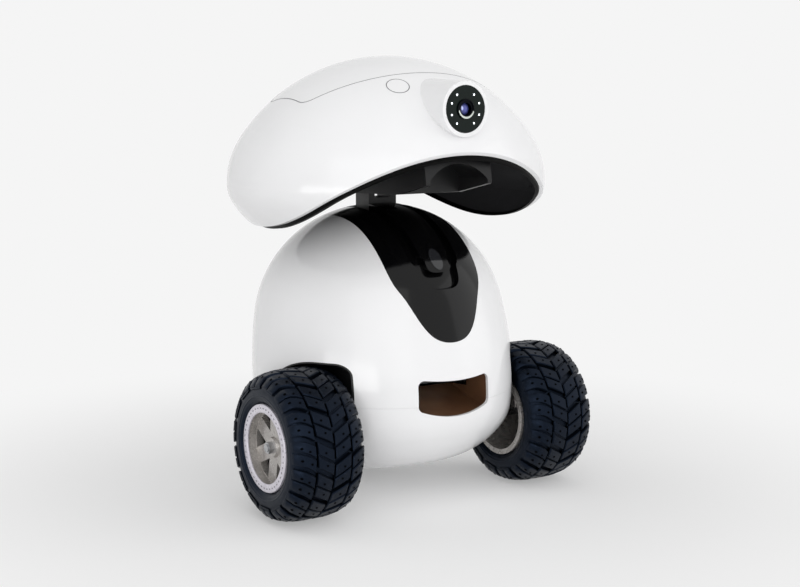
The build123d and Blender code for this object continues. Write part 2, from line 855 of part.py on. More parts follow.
# Pinion in mesh behind the rotor's gear, and its motor on the hopper's side wall
pinion_y = rotor_y + gear_module * (gear_teeth + pinion_teeth) / 2 + 0.15
pinion_plane = Plane(origin=(gear_x, pinion_y, rotor_z), x_dir=(0, 1, 0), z_dir=(1, 0, 0))
pinion_shaft_radius = 1.5
with BuildPart() as motor_pinion:
    add(gear(pinion_teeth, gear_width, pinion_shaft_radius, pinion_plane, 180 + 180 / pinion_teeth))
    with BuildSketch(Plane.YZ.offset(gear_x - 6)):
        with Locations((pinion_y, rotor_z)):
            Circle(pinion_shaft_radius)
    extrude(amount=gear_width + 6)
finish(motor_pinion, "motor_pinion")

with BuildPart() as rotor_motor:
    with BuildSketch(Plane.YZ.offset(hopper_half_width + hopper_wall + seat_gap)):
        with Locations((pinion_y, rotor_z)):
            Circle(treat_motor_radius)
    extrude(amount=gear_x - hopper_half_width - hopper_wall - 3)
    with BuildSketch(Plane.YZ.offset(gear_x - 8)):
        with Locations((pinion_y, rotor_z)):
            Circle(pinion_shaft_radius + shaft_gap)
    extrude(amount=20, mode=Mode.SUBTRACT)
finish(rotor_motor, "rotor_motor")

# Hopper door with its hinge barrel, and the fixed pin
with BuildPart() as hopper_door:
    add(door_area())
    add(egg(), mode=Mode.INTERSECT)
    add(egg(body_wall), mode=Mode.SUBTRACT)
    with BuildSketch(Plane.YZ.offset(-door_barrel_half)):
        with Locations((door_pin_y, door_pin_z)):
            Circle(door_barrel_radius)
        with Locations((door_pin_y - 0.6, door_pin_z)):
            Rectangle(2.0, door_bottom_z - door_pin_z + 2, align=(Align.CENTER, Align.MIN))
    extrude(amount=2 * door_barrel_half)
    with BuildSketch(Plane.YZ.offset(-door_barrel_half)):
        with Locations((door_pin_y, door_pin_z)):
            Circle(door_pin_radius + shaft_gap)
    extrude(amount=2 * door_barrel_half, mode=Mode.SUBTRACT)
finish(hopper_door, "hopper_door")

with BuildPart() as door_pin:
    with BuildSketch(Plane.YZ.offset(-door_barrel_half - 4)):
        with Locations((door_pin_y, door_pin_z)):
            Circle(door_pin_radius)
    extrude(amount=2 * (door_barrel_half + 4))
finish(door_pin, "door_pin")

# Speaker behind the slots in the back
speaker_y = egg_y(112, 1, body_wall) - 3.5
with BuildPart() as speaker:
    with BuildSketch(Plane.XZ.offset(-speaker_y)):
        with Locations((0, 110)):
            Circle(20)
            Circle(17.5, mode=Mode.SUBTRACT)
    extrude(amount=-8)
    add(egg(body_wall + seat_gap), mode=Mode.INTERSECT)
    with BuildSketch(Plane.XZ.offset(-speaker_y)):
        with Locations((0, 110)):
            Circle(20)
    extrude(amount=4)
    with BuildSketch(Plane.XZ.offset(-speaker_y + 4)):
        with Locations((0, 110)):
            Circle(13)
    extrude(amount=10)
finish(speaker, "speaker")

# Charging socket in the back of the tub
socket_z = 58.0
socket_y = egg_y(socket_z, 1)
with BuildPart() as charging_socket:
    with BuildSketch(Plane.XZ.offset(-socket_y - 0.6)):
        with Locations((0, socket_z)):
            Circle(5.8)
            Circle(2.8, mode=Mode.SUBTRACT)
    extrude(amount=14)
    with BuildSketch(Plane.XZ.offset(-socket_y + 11)):
        with Locations((0, socket_z)):
            Circle(5.8)
    extrude(amount=4)
finish(charging_socket, "charging_socket")

# Neck: two ears on one foot under the channel's floor, and the pin through them
neck_foot_z = 217.0
with BuildPart() as neck_foot:
    with BuildSketch(Plane.XY.offset(neck_foot_z)):
        with Locations((0, neck_y)):
            RectangleRounded(40, 36, 5)
    extrude(amount=20)
    add(egg(channel_depth + bib_wall + seat_gap), mode=Mode.INTERSECT)

with BuildPart() as neck_yoke:
    with BuildSketch(Plane.YZ.offset(-neck_half_width)):
        with Locations((neck_y, nod_z)):
            Circle(neck_half_length)
        with Locations((neck_y, nod_z)):
            Rectangle(2 * neck_half_length, nod_z - neck_foot_z, align=(Align.CENTER, Align.MAX))
    extrude(amount=2 * neck_half_width)
    with BuildSketch(Plane.YZ.offset(-neck_half_width + ear_wall)):
        with Locations((neck_y, ear_root_z)):
            Rectangle(4 * neck_half_length, 60, align=(Align.CENTER, Align.MIN))
    extrude(amount=2 * (neck_half_width - ear_wall), mode=Mode.SUBTRACT)
    add(neck_foot.part)
    with BuildSketch(Plane.YZ):
        with Locations((neck_y, nod_z)):
            Circle(nod_pin_radius)
    extrude(amount=neck_half_width, both=True, mode=Mode.SUBTRACT)
finish(neck_yoke, "neck_yoke")

with BuildPart() as nod_pin:
    with BuildSketch(Plane.YZ):
        with Locations((neck_y, nod_z)):
            Circle(nod_pin_radius)
    extrude(amount=neck_half_width, both=True)
finish(nod_pin, "nod_pin")

# Caster cup under the plate, with the bearing for the stem
cup_top_z = plate_z
with BuildPart() as caster_housing:
    with BuildSketch(Plane.XY.offset(underside_z)):
        with Locations((0, caster_y)):
            Circle(caster_cup_radius)
            Circle(caster_cup_radius - caster_cup_wall, mode=Mode.SUBTRACT)
    extrude(amount=cup_top_z - underside_z)
    with BuildSketch(Plane.XY.offset(cup_top_z - 2)):
        with Locations((0, caster_y)):
            Circle(caster_cup_radius)
            Circle(caster_stem_radius + shaft_gap, mode=Mode.SUBTRACT)
    extrude(amount=2)
    with BuildSketch(Plane.XY.offset(cup_top_z)):
        with Locations((0, caster_y)):
            Circle(caster_stem_radius + 2.9)
            Circle(caster_stem_radius + shaft_gap, mode=Mode.SUBTRACT)
    extrude(amount=plate_wall)
finish(caster_housing, "caster_housing")

caster_axle_y = caster_y + caster_trail
fork_inner = caster_width / 2 + 0.8
fork_wall = 2.0
with BuildPart() as caster_fork:
    with BuildSketch(Plane.YZ.offset(-fork_inner - fork_wall)):
        with BuildLine():
            FilletPolyline(
                (caster_y - 9, cup_top_z - 2.5),
                (caster_y + 12, cup_top_z - 2.5),
                (caster_axle_y + 5, caster_radius - 4),
                (caster_axle_y - 5, caster_radius - 4),
                (caster_y - 9, cup_top_z - 5.5),
                radius=2.0,
                close=True,
            )
        make_face()
    extrude(amount=2 * (fork_inner + fork_wall))
    with BuildSketch(Plane.YZ.offset(-fork_inner)):
        with Locations((caster_axle_y, cup_top_z - 5)):
            Rectangle(80, 60, align=(Align.CENTER, Align.MAX))
    extrude(amount=2 * fork_inner, mode=Mode.SUBTRACT)
    with BuildSketch(Plane.XY.offset(cup_top_z - 2.5)):
        with Locations((0, caster_y)):
            Circle(caster_stem_radius)
    extrude(amount=plate_wall + 2.0)
    with BuildSketch(Plane.YZ):
        with Locations((caster_axle_y, caster_radius)):
            Circle(caster_axle_radius)
    extrude(amount=20, both=True, mode=Mode.SUBTRACT)
finish(caster_fork, "caster_fork")

with BuildPart() as caster_axle:
    with BuildSketch(Plane.YZ):
        with Locations((caster_axle_y, caster_radius)):
            Circle(caster_axle_radius)
    extrude(amount=fork_inner + fork_wall, both=True)
finish(caster_axle, "caster_axle")

with BuildPart() as caster_wheel:
    with BuildSketch(Plane.YZ):
        with Locations((caster_axle_y, caster_radius)):
            Circle(caster_radius)
            Circle(caster_axle_radius + shaft_gap, mode=Mode.SUBTRACT)
    extrude(amount=caster_width / 2, both=True)
    outer = [edge for edge in caster_wheel.edges().filter_by(GeomType.CIRCLE) if edge.radius > caster_radius - 1]
    fillet(outer, 2.5)
finish(caster_wheel, "caster_wheel")


def wheel_section(*points):
    """Turn a section given as (outward, radius) points about the wheel's axle."""
    with BuildPart() as turned:
        with BuildSketch(Plane(origin=(wheel_offset, axle_y, axle_z), x_dir=(1, 0, 0), z_dir=(0, -1, 0))):
            Polygon(*points, align=None)
        revolve(axis=Axis((0, axle_y, axle_z), (1, 0, 0)))
    return turned.part


def lug(points, angle):
    """One tread lug: its outline on the rolled-out tyre, raised outwards at an angle round the axle."""
    turn = radians(angle)
    outward = Vector(0, cos(turn), sin(turn))
    base = tyre_radius - 2 * tread_depth
    centre = Vector(wheel_offset, axle_y, axle_z) + outward * base
    plane = Plane(origin=centre, x_dir=(1, 0, 0), z_dir=outward)
    with BuildPart() as block:
        with BuildSketch(plane):
            Polygon(*points, align=None)
        extrude(amount=3 * tread_depth)
    return block.part


# Tread: chevrons of two long shoulder lugs and two middle lugs, repeated round the tyre
half_tyre = tyre_width / 2
pitch_length = 2 * pi * tyre_radius / tread_pitches
middle_lug = (
    (0.9, 0.0),
    (half_tyre * 0.40, pitch_length * 0.24),
    (half_tyre * 0.40, pitch_length * 0.60),
    (0.9, pitch_length * 0.40),
)
shoulder_lug = (
    (half_tyre * 0.46, pitch_length * 0.10),
    (half_tyre * 1.0, pitch_length * 0.34),
    (half_tyre * 1.0, pitch_length * 0.76),
    (half_tyre * 0.46, pitch_length * 0.60),
)
crown = wheel_section(
    (-half_tyre, 30),
    (half_tyre, 30),
    (half_tyre, tyre_radius - 11.0),
    (half_tyre * 0.82, tyre_radius - 3.2),
    (half_tyre * 0.42, tyre_radius),
    (-half_tyre * 0.42, tyre_radius),
    (-half_tyre * 0.82, tyre_radius - 3.2),
    (-half_tyre, tyre_radius - 11.0),
)
lugs = []
for pitch in range(tread_pitches):
    start = pitch * 360 / tread_pitches
    lugs.append(lug(middle_lug, start))
    lugs.append(lug(shoulder_lug, start))
    lugs.append(lug([(-x, y) for x, y in reversed(middle_lug)], start + 180 / tread_pitches))
    lugs.append(lug([(-x, y) for x, y in reversed(shoulder_lug)], start + 180 / tread_pitches))

with BuildPart() as left_tyre:
    with BuildSketch(Plane(origin=(wheel_offset, axle_y, axle_z), x_dir=(1, 0, 0), z_dir=(0, -1, 0))):
        with BuildLine():
            Polyline(
                (-rim_face + 2.2, rim_ring_radius + seat_gap),
                (-rim_face + 2.2, rim_ring_radius - 2.4),
                (rim_face - 2.2, rim_ring_radius - 2.4),
                (rim_face - 2.2, rim_ring_radius + seat_gap),
            )
            outer_wall = Spline(
                (rim_face - 2.2, rim_ring_radius + seat_gap),
                (rim_face + 0.2, rim_ring_radius + 3),
                (half_tyre, (rim_ring_radius + tyre_radius) / 2),
                (half_tyre * 0.84, tyre_radius - tread_depth - 3.0),
            )
            crown_line = ThreePointArc(
                outer_wall @ 1, (0, tyre_radius - tread_depth), (-half_tyre * 0.84, tyre_radius - tread_depth - 3.0)
            )
            Spline(
                crown_line @ 1,
                (-half_tyre, (rim_ring_radius + tyre_radius) / 2),
                (-rim_face - 0.2, rim_ring_radius + 3),
                (-rim_face + 2.2, rim_ring_radius + seat_gap),
            )
        make_face()
    revolve(axis=Axis((0, axle_y, axle_z), (1, 0, 0)))
    carcass = left_tyre.part
with BuildPart() as tread:
    add(lugs)
    add(crown, mode=Mode.INTERSECT)
with BuildPart() as left_tyre:
    add(carcass)
    add(tread.part)
finish(left_tyre, "left_tyre")

# Rim: a deep dish with six windows, a hub and a hex socket behind it
wheel_face = Plane(origin=(wheel_offset, axle_y, axle_z), x_dir=(0, 1, 0), z_dir=(1, 0, 0))
barrel_wall = 1.6
barrel_outer = rim_ring_radius - 2.4 - seat_gap
with BuildPart() as left_rim:
    add(
        wheel_section(
            (-rim_face, barrel_outer - barrel_wall),
            (-rim_face, rim_ring_radius),
            (-rim_face + 2.1, rim_ring_radius),
            (-rim_face + 2.1, barrel_outer),
            (rim_face - 2.2, barrel_outer),
            (rim_face - 2.2, rim_dish_radius + 1),
            (spoke_face + 1, rim_dish_radius),
            (spoke_face, hub_radius),
            (spoke_face + 2, hub_radius - 1),
            (spoke_face + 2, axle_radius + seat_gap),
            (spoke_face - 8, axle_radius + seat_gap),
            (spoke_face - 8, hub_radius + 1),
            (spoke_face - spoke_wall, hub_radius + 2),
            (spoke_face - spoke_wall, barrel_outer - barrel_wall),
        )
    )
    with BuildSketch(wheel_face.offset(spoke_face - 6)):
        with PolarLocations(0, window_count, start_angle=5):
            window = Polygon(
                (hub_radius + 4.2, 0),
                (rim_dish_radius - 2.0, 7.6),
                (rim_dish_radius - 0.6, 0),
                (rim_dish_radius - 2.0, -7.6),
                align=None,
            )
    extrude(amount=12, mode=Mode.SUBTRACT)
    with BuildSketch(wheel_face.offset(spoke_face - 8)):
        RegularPolygon(hex_across / 2 + seat_gap, 6, major_radius=False)
    extrude(amount=4, mode=Mode.SUBTRACT)
finish(left_rim, "left_rim")

# Bright ring on the rim's outer edge
with BuildPart() as left_bead_ring:
    add(
        wheel_section(
            (rim_face - 2.1, rim_dish_radius + 0.6),
            (rim_face - 2.1, rim_ring_radius),
            (rim_face - 0.5, rim_ring_radius),
            (rim_face, rim_ring_radius - 0.6),
            (rim_face, rim_dish_radius + 1.2),
            (rim_face - 0.6, rim_dish_radius + 0.6),
        )
    )
finish(left_bead_ring, "left_bead_ring")

# Hex hub on the axle, behind the rim's disc
with BuildPart() as left_hex_hub:
    with BuildSketch(wheel_face.offset(spoke_face - 13)):
        RegularPolygon(hex_across / 2, 6, major_radius=False)
        Circle(axle_radius, mode=Mode.SUBTRACT)
    extrude(amount=9 - seat_gap)
finish(left_hex_hub, "left_hex_hub")

with BuildPart() as left_axle:
    with BuildSketch(Plane.YZ.offset(motor_inner_x + motor_length * 0.62)):
        with Locations((axle_y, axle_z)):
            Circle(axle_radius)
    extrude(amount=wheel_offset + spoke_face + 7 - motor_inner_x - motor_length * 0.62)
finish(left_axle, "left_axle")

with BuildPart() as left_wheel_nut:
    with BuildSketch(wheel_face.offset(spoke_face + 2)):
        RegularPolygon(4.0, 6, major_radius=False)
        Circle(axle_radius, mode=Mode.SUBTRACT)
    extrude(amount=4)
finish(left_wheel_nut, "left_wheel_nut")

left_wheel = {
    "tyre": left_tyre,
    "rim": left_rim,
    "bead_ring": left_bead_ring,
    "hex_hub": left_hex_hub,
    "axle": left_axle,
    "wheel_nut": left_wheel_nut,
}
for name, piece in left_wheel.items():
    with BuildPart() as right_piece:
        mirror(piece.part, about=Plane.YZ)
    finish(right_piece, f"right_{name}")

# Push button's bore, square to the crown
press = button_plane()
with BuildPart() as button_bore:
    with BuildSketch(press.offset(-12)):
        Circle(button_radius + moving_gap)
    extrude(amount=24)

# Notch for the crown lid's barrel and the wider seam beside it, with the round plan's lengths
notch_back_edge = lid_hinge_y + lid_barrel_radius + moving_gap
with BuildPart() as lid_notch:
    with BuildSketch(Plane.XY.offset(lid_hinge_z - 4)):
        with Locations((0, stretch * notch_back_edge)):
            Rectangle(
                2 * (lid_barrel_half + moving_gap),
                stretch * (notch_back_edge - lid_arm_y + moving_gap),
                align=(Align.CENTER, Align.MAX),
            )
    extrude(amount=12)

with BuildPart() as lid_relief:
    with BuildSketch(Plane.XY.offset(lid_hinge_z - 12)):
        with Locations((0, stretch * (lid_half_length + 1))):
            Rectangle(2 * lid_relief_half, stretch * 6, align=(Align.CENTER, Align.MAX))
    extrude(amount=24)

with BuildPart() as pin_bore:
    with BuildSketch(Plane.YZ.offset(-lid_barrel_half - 4)):
        with Locations((stretch * lid_hinge_y, lid_hinge_z)):
            Ellipse(stretch * lid_pin_radius, lid_pin_radius)
    extrude(amount=2 * (lid_barrel_half + 4))

# White head shell
with BuildPart() as head_form:
    add(dome())
    add(snout(snout_front_y))
    add(rim_cylinder(), mode=Mode.INTERSECT)
    add(dome(head_wall), mode=Mode.SUBTRACT)
    add(snout(snout_front_y + 5.5, head_wall), mode=Mode.SUBTRACT)
    with BuildSketch(Plane.XZ.offset(-stretch * (snout_front_y - 1))):
        with Locations((0, camera_z)):
            Circle(camera_plate_radius + seat_gap)
    extrude(amount=-stretch * (1 + camera_plate_wall + seat_gap), mode=Mode.SUBTRACT)
    with BuildSketch(Plane.XZ.offset(-stretch * snout_front_y)):
        with Locations((0, camera_z)):
            Circle(camera_plate_radius - 2)
    extrude(amount=-8, mode=Mode.SUBTRACT)
    add(lid_outline(seat_gap * 2), mode=Mode.SUBTRACT)
    add(lid_notch.part, mode=Mode.SUBTRACT)
    add(lid_relief.part, mode=Mode.SUBTRACT)
    add(pin_bore.part, mode=Mode.SUBTRACT)
with BuildPart() as head_shell:
    add(squeeze(head_form.part))
    add(button_bore.part, mode=Mode.SUBTRACT)
finish(head_shell, "head_shell")

# Black lining under the dome, with a slot and two small holes sunk in each side lobe
lining_inset = head_wall + seat_gap
with BuildPart() as lining_room:
    add(dome(lining_inset + lining_wall))
    split(bisect_by=Plane.XY.offset(ceiling_z - lining_wall), keep=Keep.BOTTOM)

with BuildPart() as lobe_marks:
    with BuildSketch(Plane.YZ):
        with BuildLine():
            ThreePointArc((-stretch * 3.5, 262.6), (-stretch * 24, 258.2), (-stretch * 41.6, 250.1))
        trace(line_width=3.6)
        with Locations((-stretch * 36.8, 243.0), (-stretch * 31.4, 242.7)):
            Circle(1.0)
    extrude(amount=head_half_width, both=True)
    add(dome(lining_inset + lining_wall / 2), mode=Mode.INTERSECT)

with BuildPart() as lining_form:
    add(dome(lining_inset))
    add(rim_cylinder(lip_height), mode=Mode.INTERSECT)
    split(bisect_by=Plane.XY.offset(ceiling_z), keep=Keep.BOTTOM)
    add(lining_room.part, mode=Mode.SUBTRACT)
    add(lobe_marks.part, mode=Mode.SUBTRACT)
with BuildPart() as head_lining:
    add(squeeze(lining_form.part))
finish(head_lining, "head_lining")

# Chin box that hangs from the ceiling, with the arched notch and the room for the neck
chin_top_z = ceiling_z - lining_wall - seat_gap
with BuildPart() as chin_box:
    with BuildSketch(Plane.YZ.offset(-chin_half_width)):
        with BuildLine():
            FilletPolyline(
                (chin_front_y + 5, chin_top_z),
                (chin_front_y, 252.5),
                (-60, 243.6),
                (0, 241.2),
                (chin_back_y, 241.2),
                (chin_back_y, chin_top_z),
                radius=(0.5, 2, 20, 20, 6, 0.5),
                close=True,
            )
        make_face()
    extrude(amount=2 * chin_half_width)
    with BuildSketch(Plane.XZ.offset(-notch_back_y)):
        with BuildLine():
            arch = ThreePointArc((-notch_half_width, 256), (0, notch_top_z), (notch_half_width, 256))
            Polyline(arch @ 1, (notch_half_width, 230), (-notch_half_width, 230), arch @ 0)
        make_face()
    extrude(amount=80, mode=Mode.SUBTRACT)
    with BuildSketch(Plane.YZ.offset(-chin_half_width + chin_wall)):
        Polygon(
            (notch_back_y + chin_wall, 246.5),
            (0, 243.8),
            (chin_back_y - chin_wall, 243.8),
            (chin_back_y - chin_wall, chin_top_z + 1),
            (notch_back_y + chin_wall, chin_top_z + 1),
            align=None,
        )
    extrude(amount=2 * (chin_half_width - chin_wall), mode=Mode.SUBTRACT)
    with BuildSketch(Plane.XY.offset(235)):
        with Locations((0, neck_y)):
            Rectangle(2 * (neck_half_width + 1.5), 2 * (neck_half_length + 6.5))
    extrude(amount=12, mode=Mode.SUBTRACT)
finish(chin_box, "chin_box")

# Nod servo between the neck's ears, seated under the ceiling
servo_half_width = neck_half_width - ear_wall - 0.5
with BuildPart() as nod_servo:
    with BuildSketch(Plane.YZ.offset(-servo_half_width)):
        with Locations((neck_y, nod_z)):
            Circle(7)
        with Locations((neck_y, nod_z)):
            Rectangle(14, chin_top_z - nod_z, align=(Align.CENTER, Align.MIN))
    extrude(amount=2 * servo_half_width)
    with BuildSketch(Plane.XY.offset(chin_top_z - 2)):
        with Locations((0, neck_y)):
            RectangleRounded(2 * servo_half_width, 32, 3)
    extrude(amount=2)
    with BuildSketch(Plane.YZ):
        with Locations((neck_y, nod_z)):
            Circle(nod_pin_radius + shaft_gap)
    extrude(amount=20, both=True, mode=Mode.SUBTRACT)
finish(nod_servo, "nod_servo")

# Camera plate, lamps, lens barrel, glass and module
lamp_places = [
    (lamp_ring_radius * cos(radians(angle)), camera_z + lamp_ring_radius * sin(radians(angle)))
    for angle in lamp_angles
]
plate_front = Plane.XZ.offset(-snout_front_y - 0.3)
with BuildPart() as camera_plate:
    with BuildSketch(plate_front):
        with Locations((0, camera_z)):
            Circle(camera_plate_radius)
            Circle(lens_radius + seat_gap, mode=Mode.SUBTRACT)
        with Locations(*lamp_places):
            Circle(lamp_radius + seat_gap, mode=Mode.SUBTRACT)
    extrude(amount=-camera_plate_wall + 0.3)
finish(camera_plate, "camera_plate")

with BuildPart() as ir_lamps:
    with BuildSketch(plate_front.offset(0.2)):
        with Locations(*lamp_places):
            Circle(lamp_radius)
    extrude(amount=-camera_plate_wall - 0.2)
finish(ir_lamps, "ir_lamps")

with BuildPart() as lens_barrel:
    with BuildSketch(plate_front.offset(0.8)):
        with Locations((0, camera_z)):
            Circle(lens_radius)
            Circle(lens_radius - 2.2, mode=Mode.SUBTRACT)
    extrude(amount=-6)
    with BuildSketch(plate_front.offset(-2.6)):
        with Locations((0, camera_z)):
            Circle(lens_radius)
    extrude(amount=-2.6)
finish(lens_barrel, "lens_barrel")

glass_half = lens_radius - 2.4
glass_edge = asin(glass_half / glass_bend)
with BuildPart() as lens_glass:
    with BuildSketch(Plane(origin=(0, snout_front_y + 0.7, camera_z), x_dir=(0, 1, 0), z_dir=(-1, 0, 0))):
        with BuildLine():
            bulge = ThreePointArc(
                *[(glass_bend * (1 - cos(a)), glass_bend * sin(a)) for a in (glass_edge, glass_edge / 2, 0)]
            )
            Polyline(bulge @ 1, (2.1, 0), (2.1, glass_half), bulge @ 0)
        make_face()
    revolve(axis=Axis((0, 0, camera_z), (0, 1, 0)))
finish(lens_glass, "lens_glass")

with BuildPart() as camera_module:
    with BuildSketch(plate_front.offset(-5.3)):
        with Locations((0, camera_z)):
            RectangleRounded(21, 21, 1.5)
    extrude(amount=-1.6)
    with BuildSketch(plate_front.offset(-6.9)):
        with Locations((0, camera_z)):
            Rectangle(14, 12)
    extrude(amount=-9)
finish(camera_module, "camera_module")

# Head board on the lining's ceiling
with BuildPart() as head_board:
    with BuildSketch(Plane.XY.offset(ceiling_z + seat_gap)):
        with Locations((0, -20)):
            RectangleRounded(80, 50, 3)
    extrude(amount=board_wall)
    with BuildSketch(Plane.XY.offset(ceiling_z + board_wall)):
        with Locations((-18, -26)):
            Rectangle(16, 16)
        with Locations((18, -14)):
            Rectangle(24, 12)
    extrude(amount=3)
finish(head_board, "head_board")

# Tray under the crown lid
with BuildPart() as tray_room:
    add(lid_outline(-tray_rim))
    split(bisect_by=Plane.XY.offset(tray_floor_z + 2), keep=Keep.TOP)

with BuildPart() as tray_form:
    add(lid_outline(tray_rim))
    add(dome(lining_inset), mode=Mode.INTERSECT)
    add(tray_room.part, mode=Mode.SUBTRACT)
    add(lid_notch.part, mode=Mode.SUBTRACT)
with BuildPart() as crown_tray:
    add(squeeze(tray_form.part))
finish(crown_tray, "crown_tray")

# Crown lid with its hinge barrel, and the pin
with BuildPart() as lid_form:
    add(lid_outline(-seat_gap))
    add(dome(), mode=Mode.INTERSECT)
    add(dome(lid_wall), mode=Mode.SUBTRACT)
    with BuildSketch(Plane.YZ.offset(-lid_barrel_half)):
        Polygon(
            (stretch * lid_hinge_y, lid_hinge_z - 2.0),
            (stretch * lid_hinge_y, lid_hinge_z + 1.6),
            (stretch * (lid_half_length - 0.5), lid_hinge_z + 3.0),
            (stretch * lid_arm_y, lid_hinge_z + 3.8),
            (stretch * lid_arm_y, lid_hinge_z + 0.6),
            align=None,
        )
        with Locations((stretch * lid_hinge_y, lid_hinge_z)):
            Ellipse(stretch * lid_barrel_radius, lid_barrel_radius)
            Ellipse(stretch * (lid_pin_radius + shaft_gap), lid_pin_radius + shaft_gap, mode=Mode.SUBTRACT)
    extrude(amount=2 * lid_barrel_half)
with BuildPart() as crown_lid:
    add(squeeze(lid_form.part))
finish(crown_lid, "crown_lid")

with BuildPart() as crown_pin:
    with BuildSketch(Plane.YZ.offset(-lid_barrel_half - 4)):
        with Locations((lid_hinge_y, lid_hinge_z)):
            Circle(lid_pin_radius)
    extrude(amount=2 * (lid_barrel_half + 4))
finish(crown_pin, "crown_pin")

# Push button: a cap that follows the crown and a stem under it
cap_block = crown_block(head_wall - 0.5, 26, 26, button_x, button_y)
with BuildPart() as power_button:
    with BuildSketch(press.offset(-12)):
        Circle(button_radius)
    extrude(amount=24)
    add(cap_block, mode=Mode.INTERSECT)
    with BuildSketch(press.offset(-button_stem)):
        Circle(button_stem_radius)
    extrude(amount=button_stem - 1.5)
finish(power_button, "power_button")

# Switch under the button's stem, on a post from the ceiling of the lining
switch_plane = press.offset(-button_stem - button_travel - 0.3)
with BuildPart() as button_switch:
    with BuildSketch(switch_plane):
        Rectangle(8, 8)
    extrude(amount=-3)
    with BuildSketch(Plane.XY.offset(ceiling_z + seat_gap)):
        with Locations((switch_plane.origin.X, switch_plane.origin.Y)):
            Rectangle(5, 5)
    extrude(amount=switch_plane.origin.Z - 2.5 - ceiling_z - seat_gap)
finish(button_switch, "button_switch")
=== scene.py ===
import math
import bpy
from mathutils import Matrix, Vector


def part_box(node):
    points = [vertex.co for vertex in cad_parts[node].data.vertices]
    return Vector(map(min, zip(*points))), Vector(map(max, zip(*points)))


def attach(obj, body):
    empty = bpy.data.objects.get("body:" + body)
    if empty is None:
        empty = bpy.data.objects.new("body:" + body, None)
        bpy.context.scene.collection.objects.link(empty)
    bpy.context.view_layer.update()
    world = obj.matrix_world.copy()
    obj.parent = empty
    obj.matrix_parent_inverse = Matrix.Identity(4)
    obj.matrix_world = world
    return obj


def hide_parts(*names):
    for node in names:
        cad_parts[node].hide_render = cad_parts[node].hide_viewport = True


bl_info = {
    "name": "Robotic Pet Camera",
    "version": (1, 0, 0),
    "blender": (4, 5, 0),
    "location": "3D View > Sidebar > Pet Camera",
    "description": "Finishes and fine pieces of a robotic pet camera on two drive wheels, with its studio",
    "category": "Add Mesh",
}

import bmesh
import bpy
import numpy as np
from mathutils import Matrix, Vector

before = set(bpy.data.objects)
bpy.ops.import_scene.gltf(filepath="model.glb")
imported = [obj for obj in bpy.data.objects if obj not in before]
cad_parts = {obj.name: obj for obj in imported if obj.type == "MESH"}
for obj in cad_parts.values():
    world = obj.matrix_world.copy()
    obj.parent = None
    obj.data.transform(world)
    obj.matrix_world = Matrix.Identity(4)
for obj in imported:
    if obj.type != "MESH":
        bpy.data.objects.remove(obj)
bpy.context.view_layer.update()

MM = 0.001


# Sizes and colours that a user would change


class PETCAM_PG_shells(bpy.types.PropertyGroup):
    """Colours and gloss of the moulded shells."""

    white: bpy.props.StringProperty(
        name="White", description="sRGB hex colour of the head, body, lids and button", default="#F4F4F5"
    )
    black: bpy.props.StringProperty(
        name="Black", description="sRGB hex colour of the bib and its spine", default="#050506"
    )
    chute: bpy.props.StringProperty(
        name="Chute", description="sRGB hex colour of the treat outlet's ramp", default="#6A4A33"
    )
    gloss: bpy.props.FloatProperty(
        name="Gloss roughness",
        description="Roughness of the polished white shells",
        default=0.13,
        min=0.02,
        max=1.0,
    )


class PETCAM_PG_wheels(bpy.types.PropertyGroup):
    """Sizes and colours of the drive wheels."""

    rubber: bpy.props.StringProperty(
        name="Rubber", description="sRGB hex colour of the tyres and the caster's wheel", default="#070B12"
    )
    silver: bpy.props.StringProperty(
        name="Rim silver", description="sRGB hex colour of the painted rims", default="#BDB9B5"
    )
    pitches: bpy.props.IntProperty(
        name="Tread pitches", description="Chevrons round each tyre", default=15, min=6, max=40
    )
    lug_bevel: bpy.props.FloatProperty(
        name="Lug bevel", description="Rounding of a lug's edge", default=0.7 * MM, unit="LENGTH"
    )
    sipe: bpy.props.FloatProperty(
        name="Sipe depth", description="Depth of the cut across a lug", default=1.3 * MM, unit="LENGTH"
    )
    dashes: bpy.props.IntProperty(
        name="Ring dashes", description="Pressed marks round the bright ring", default=44, min=6, max=90
    )


class PETCAM_PG_camera_face(bpy.types.PropertyGroup):
    """Colours of the camera plate and lens, and the glow of the lamps."""

    plate: bpy.props.StringProperty(
        name="Plate", description="sRGB hex colour of the camera's cover", default="#081310"
    )
    coating: bpy.props.StringProperty(
        name="Lens coating", description="sRGB hex colour of the lens's reflection", default="#565CA8"
    )
    glow: bpy.props.FloatProperty(
        name="Lamp glow", description="Brightness of each lamp's die", default=3.0, min=0.0, max=10.0
    )


class PETCAM_PG_studio(bpy.types.PropertyGroup):
    """Light, floor and lens of the studio."""

    backdrop: bpy.props.StringProperty(
        name="Backdrop", description="sRGB hex colour behind the object", default="#F5F5F5"
    )
    sky: bpy.props.FloatProperty(
        name="Sky light", description="Strength of the even light all round", default=1.02, min=0.0, max=2.0
    )
    key: bpy.props.FloatProperty(
        name="Key light", description="Power of the large soft light in front", default=9.8, subtype="POWER"
    )
    lens: bpy.props.FloatProperty(
        name="Lens", description="Focal length of the camera", default=67.04, unit="CAMERA"
    )


# Helpers for materials


def linear(hex_colour):
    """An sRGB hex colour as linear RGBA."""
    channels = [int(hex_colour[i : i + 2], 16) / 255 for i in (1, 3, 5)]
    return tuple(c / 12.92 if c <= 0.04045 else ((c + 0.055) / 1.055) ** 2.4 for c in channels) + (1.0,)


def add(tree, kind, values=None, links=None, **settings):
    """Add a node with its settings, its own input values and its links."""
    node = tree.nodes.new(kind)
    for name, value in settings.items():
        setattr(node, name, value)
    for name, value in (values or {}).items():
        node.inputs[name].default_value = value
    for name, socket in (links or {}).items():
        tree.links.new(socket, node.inputs[name])
    return node


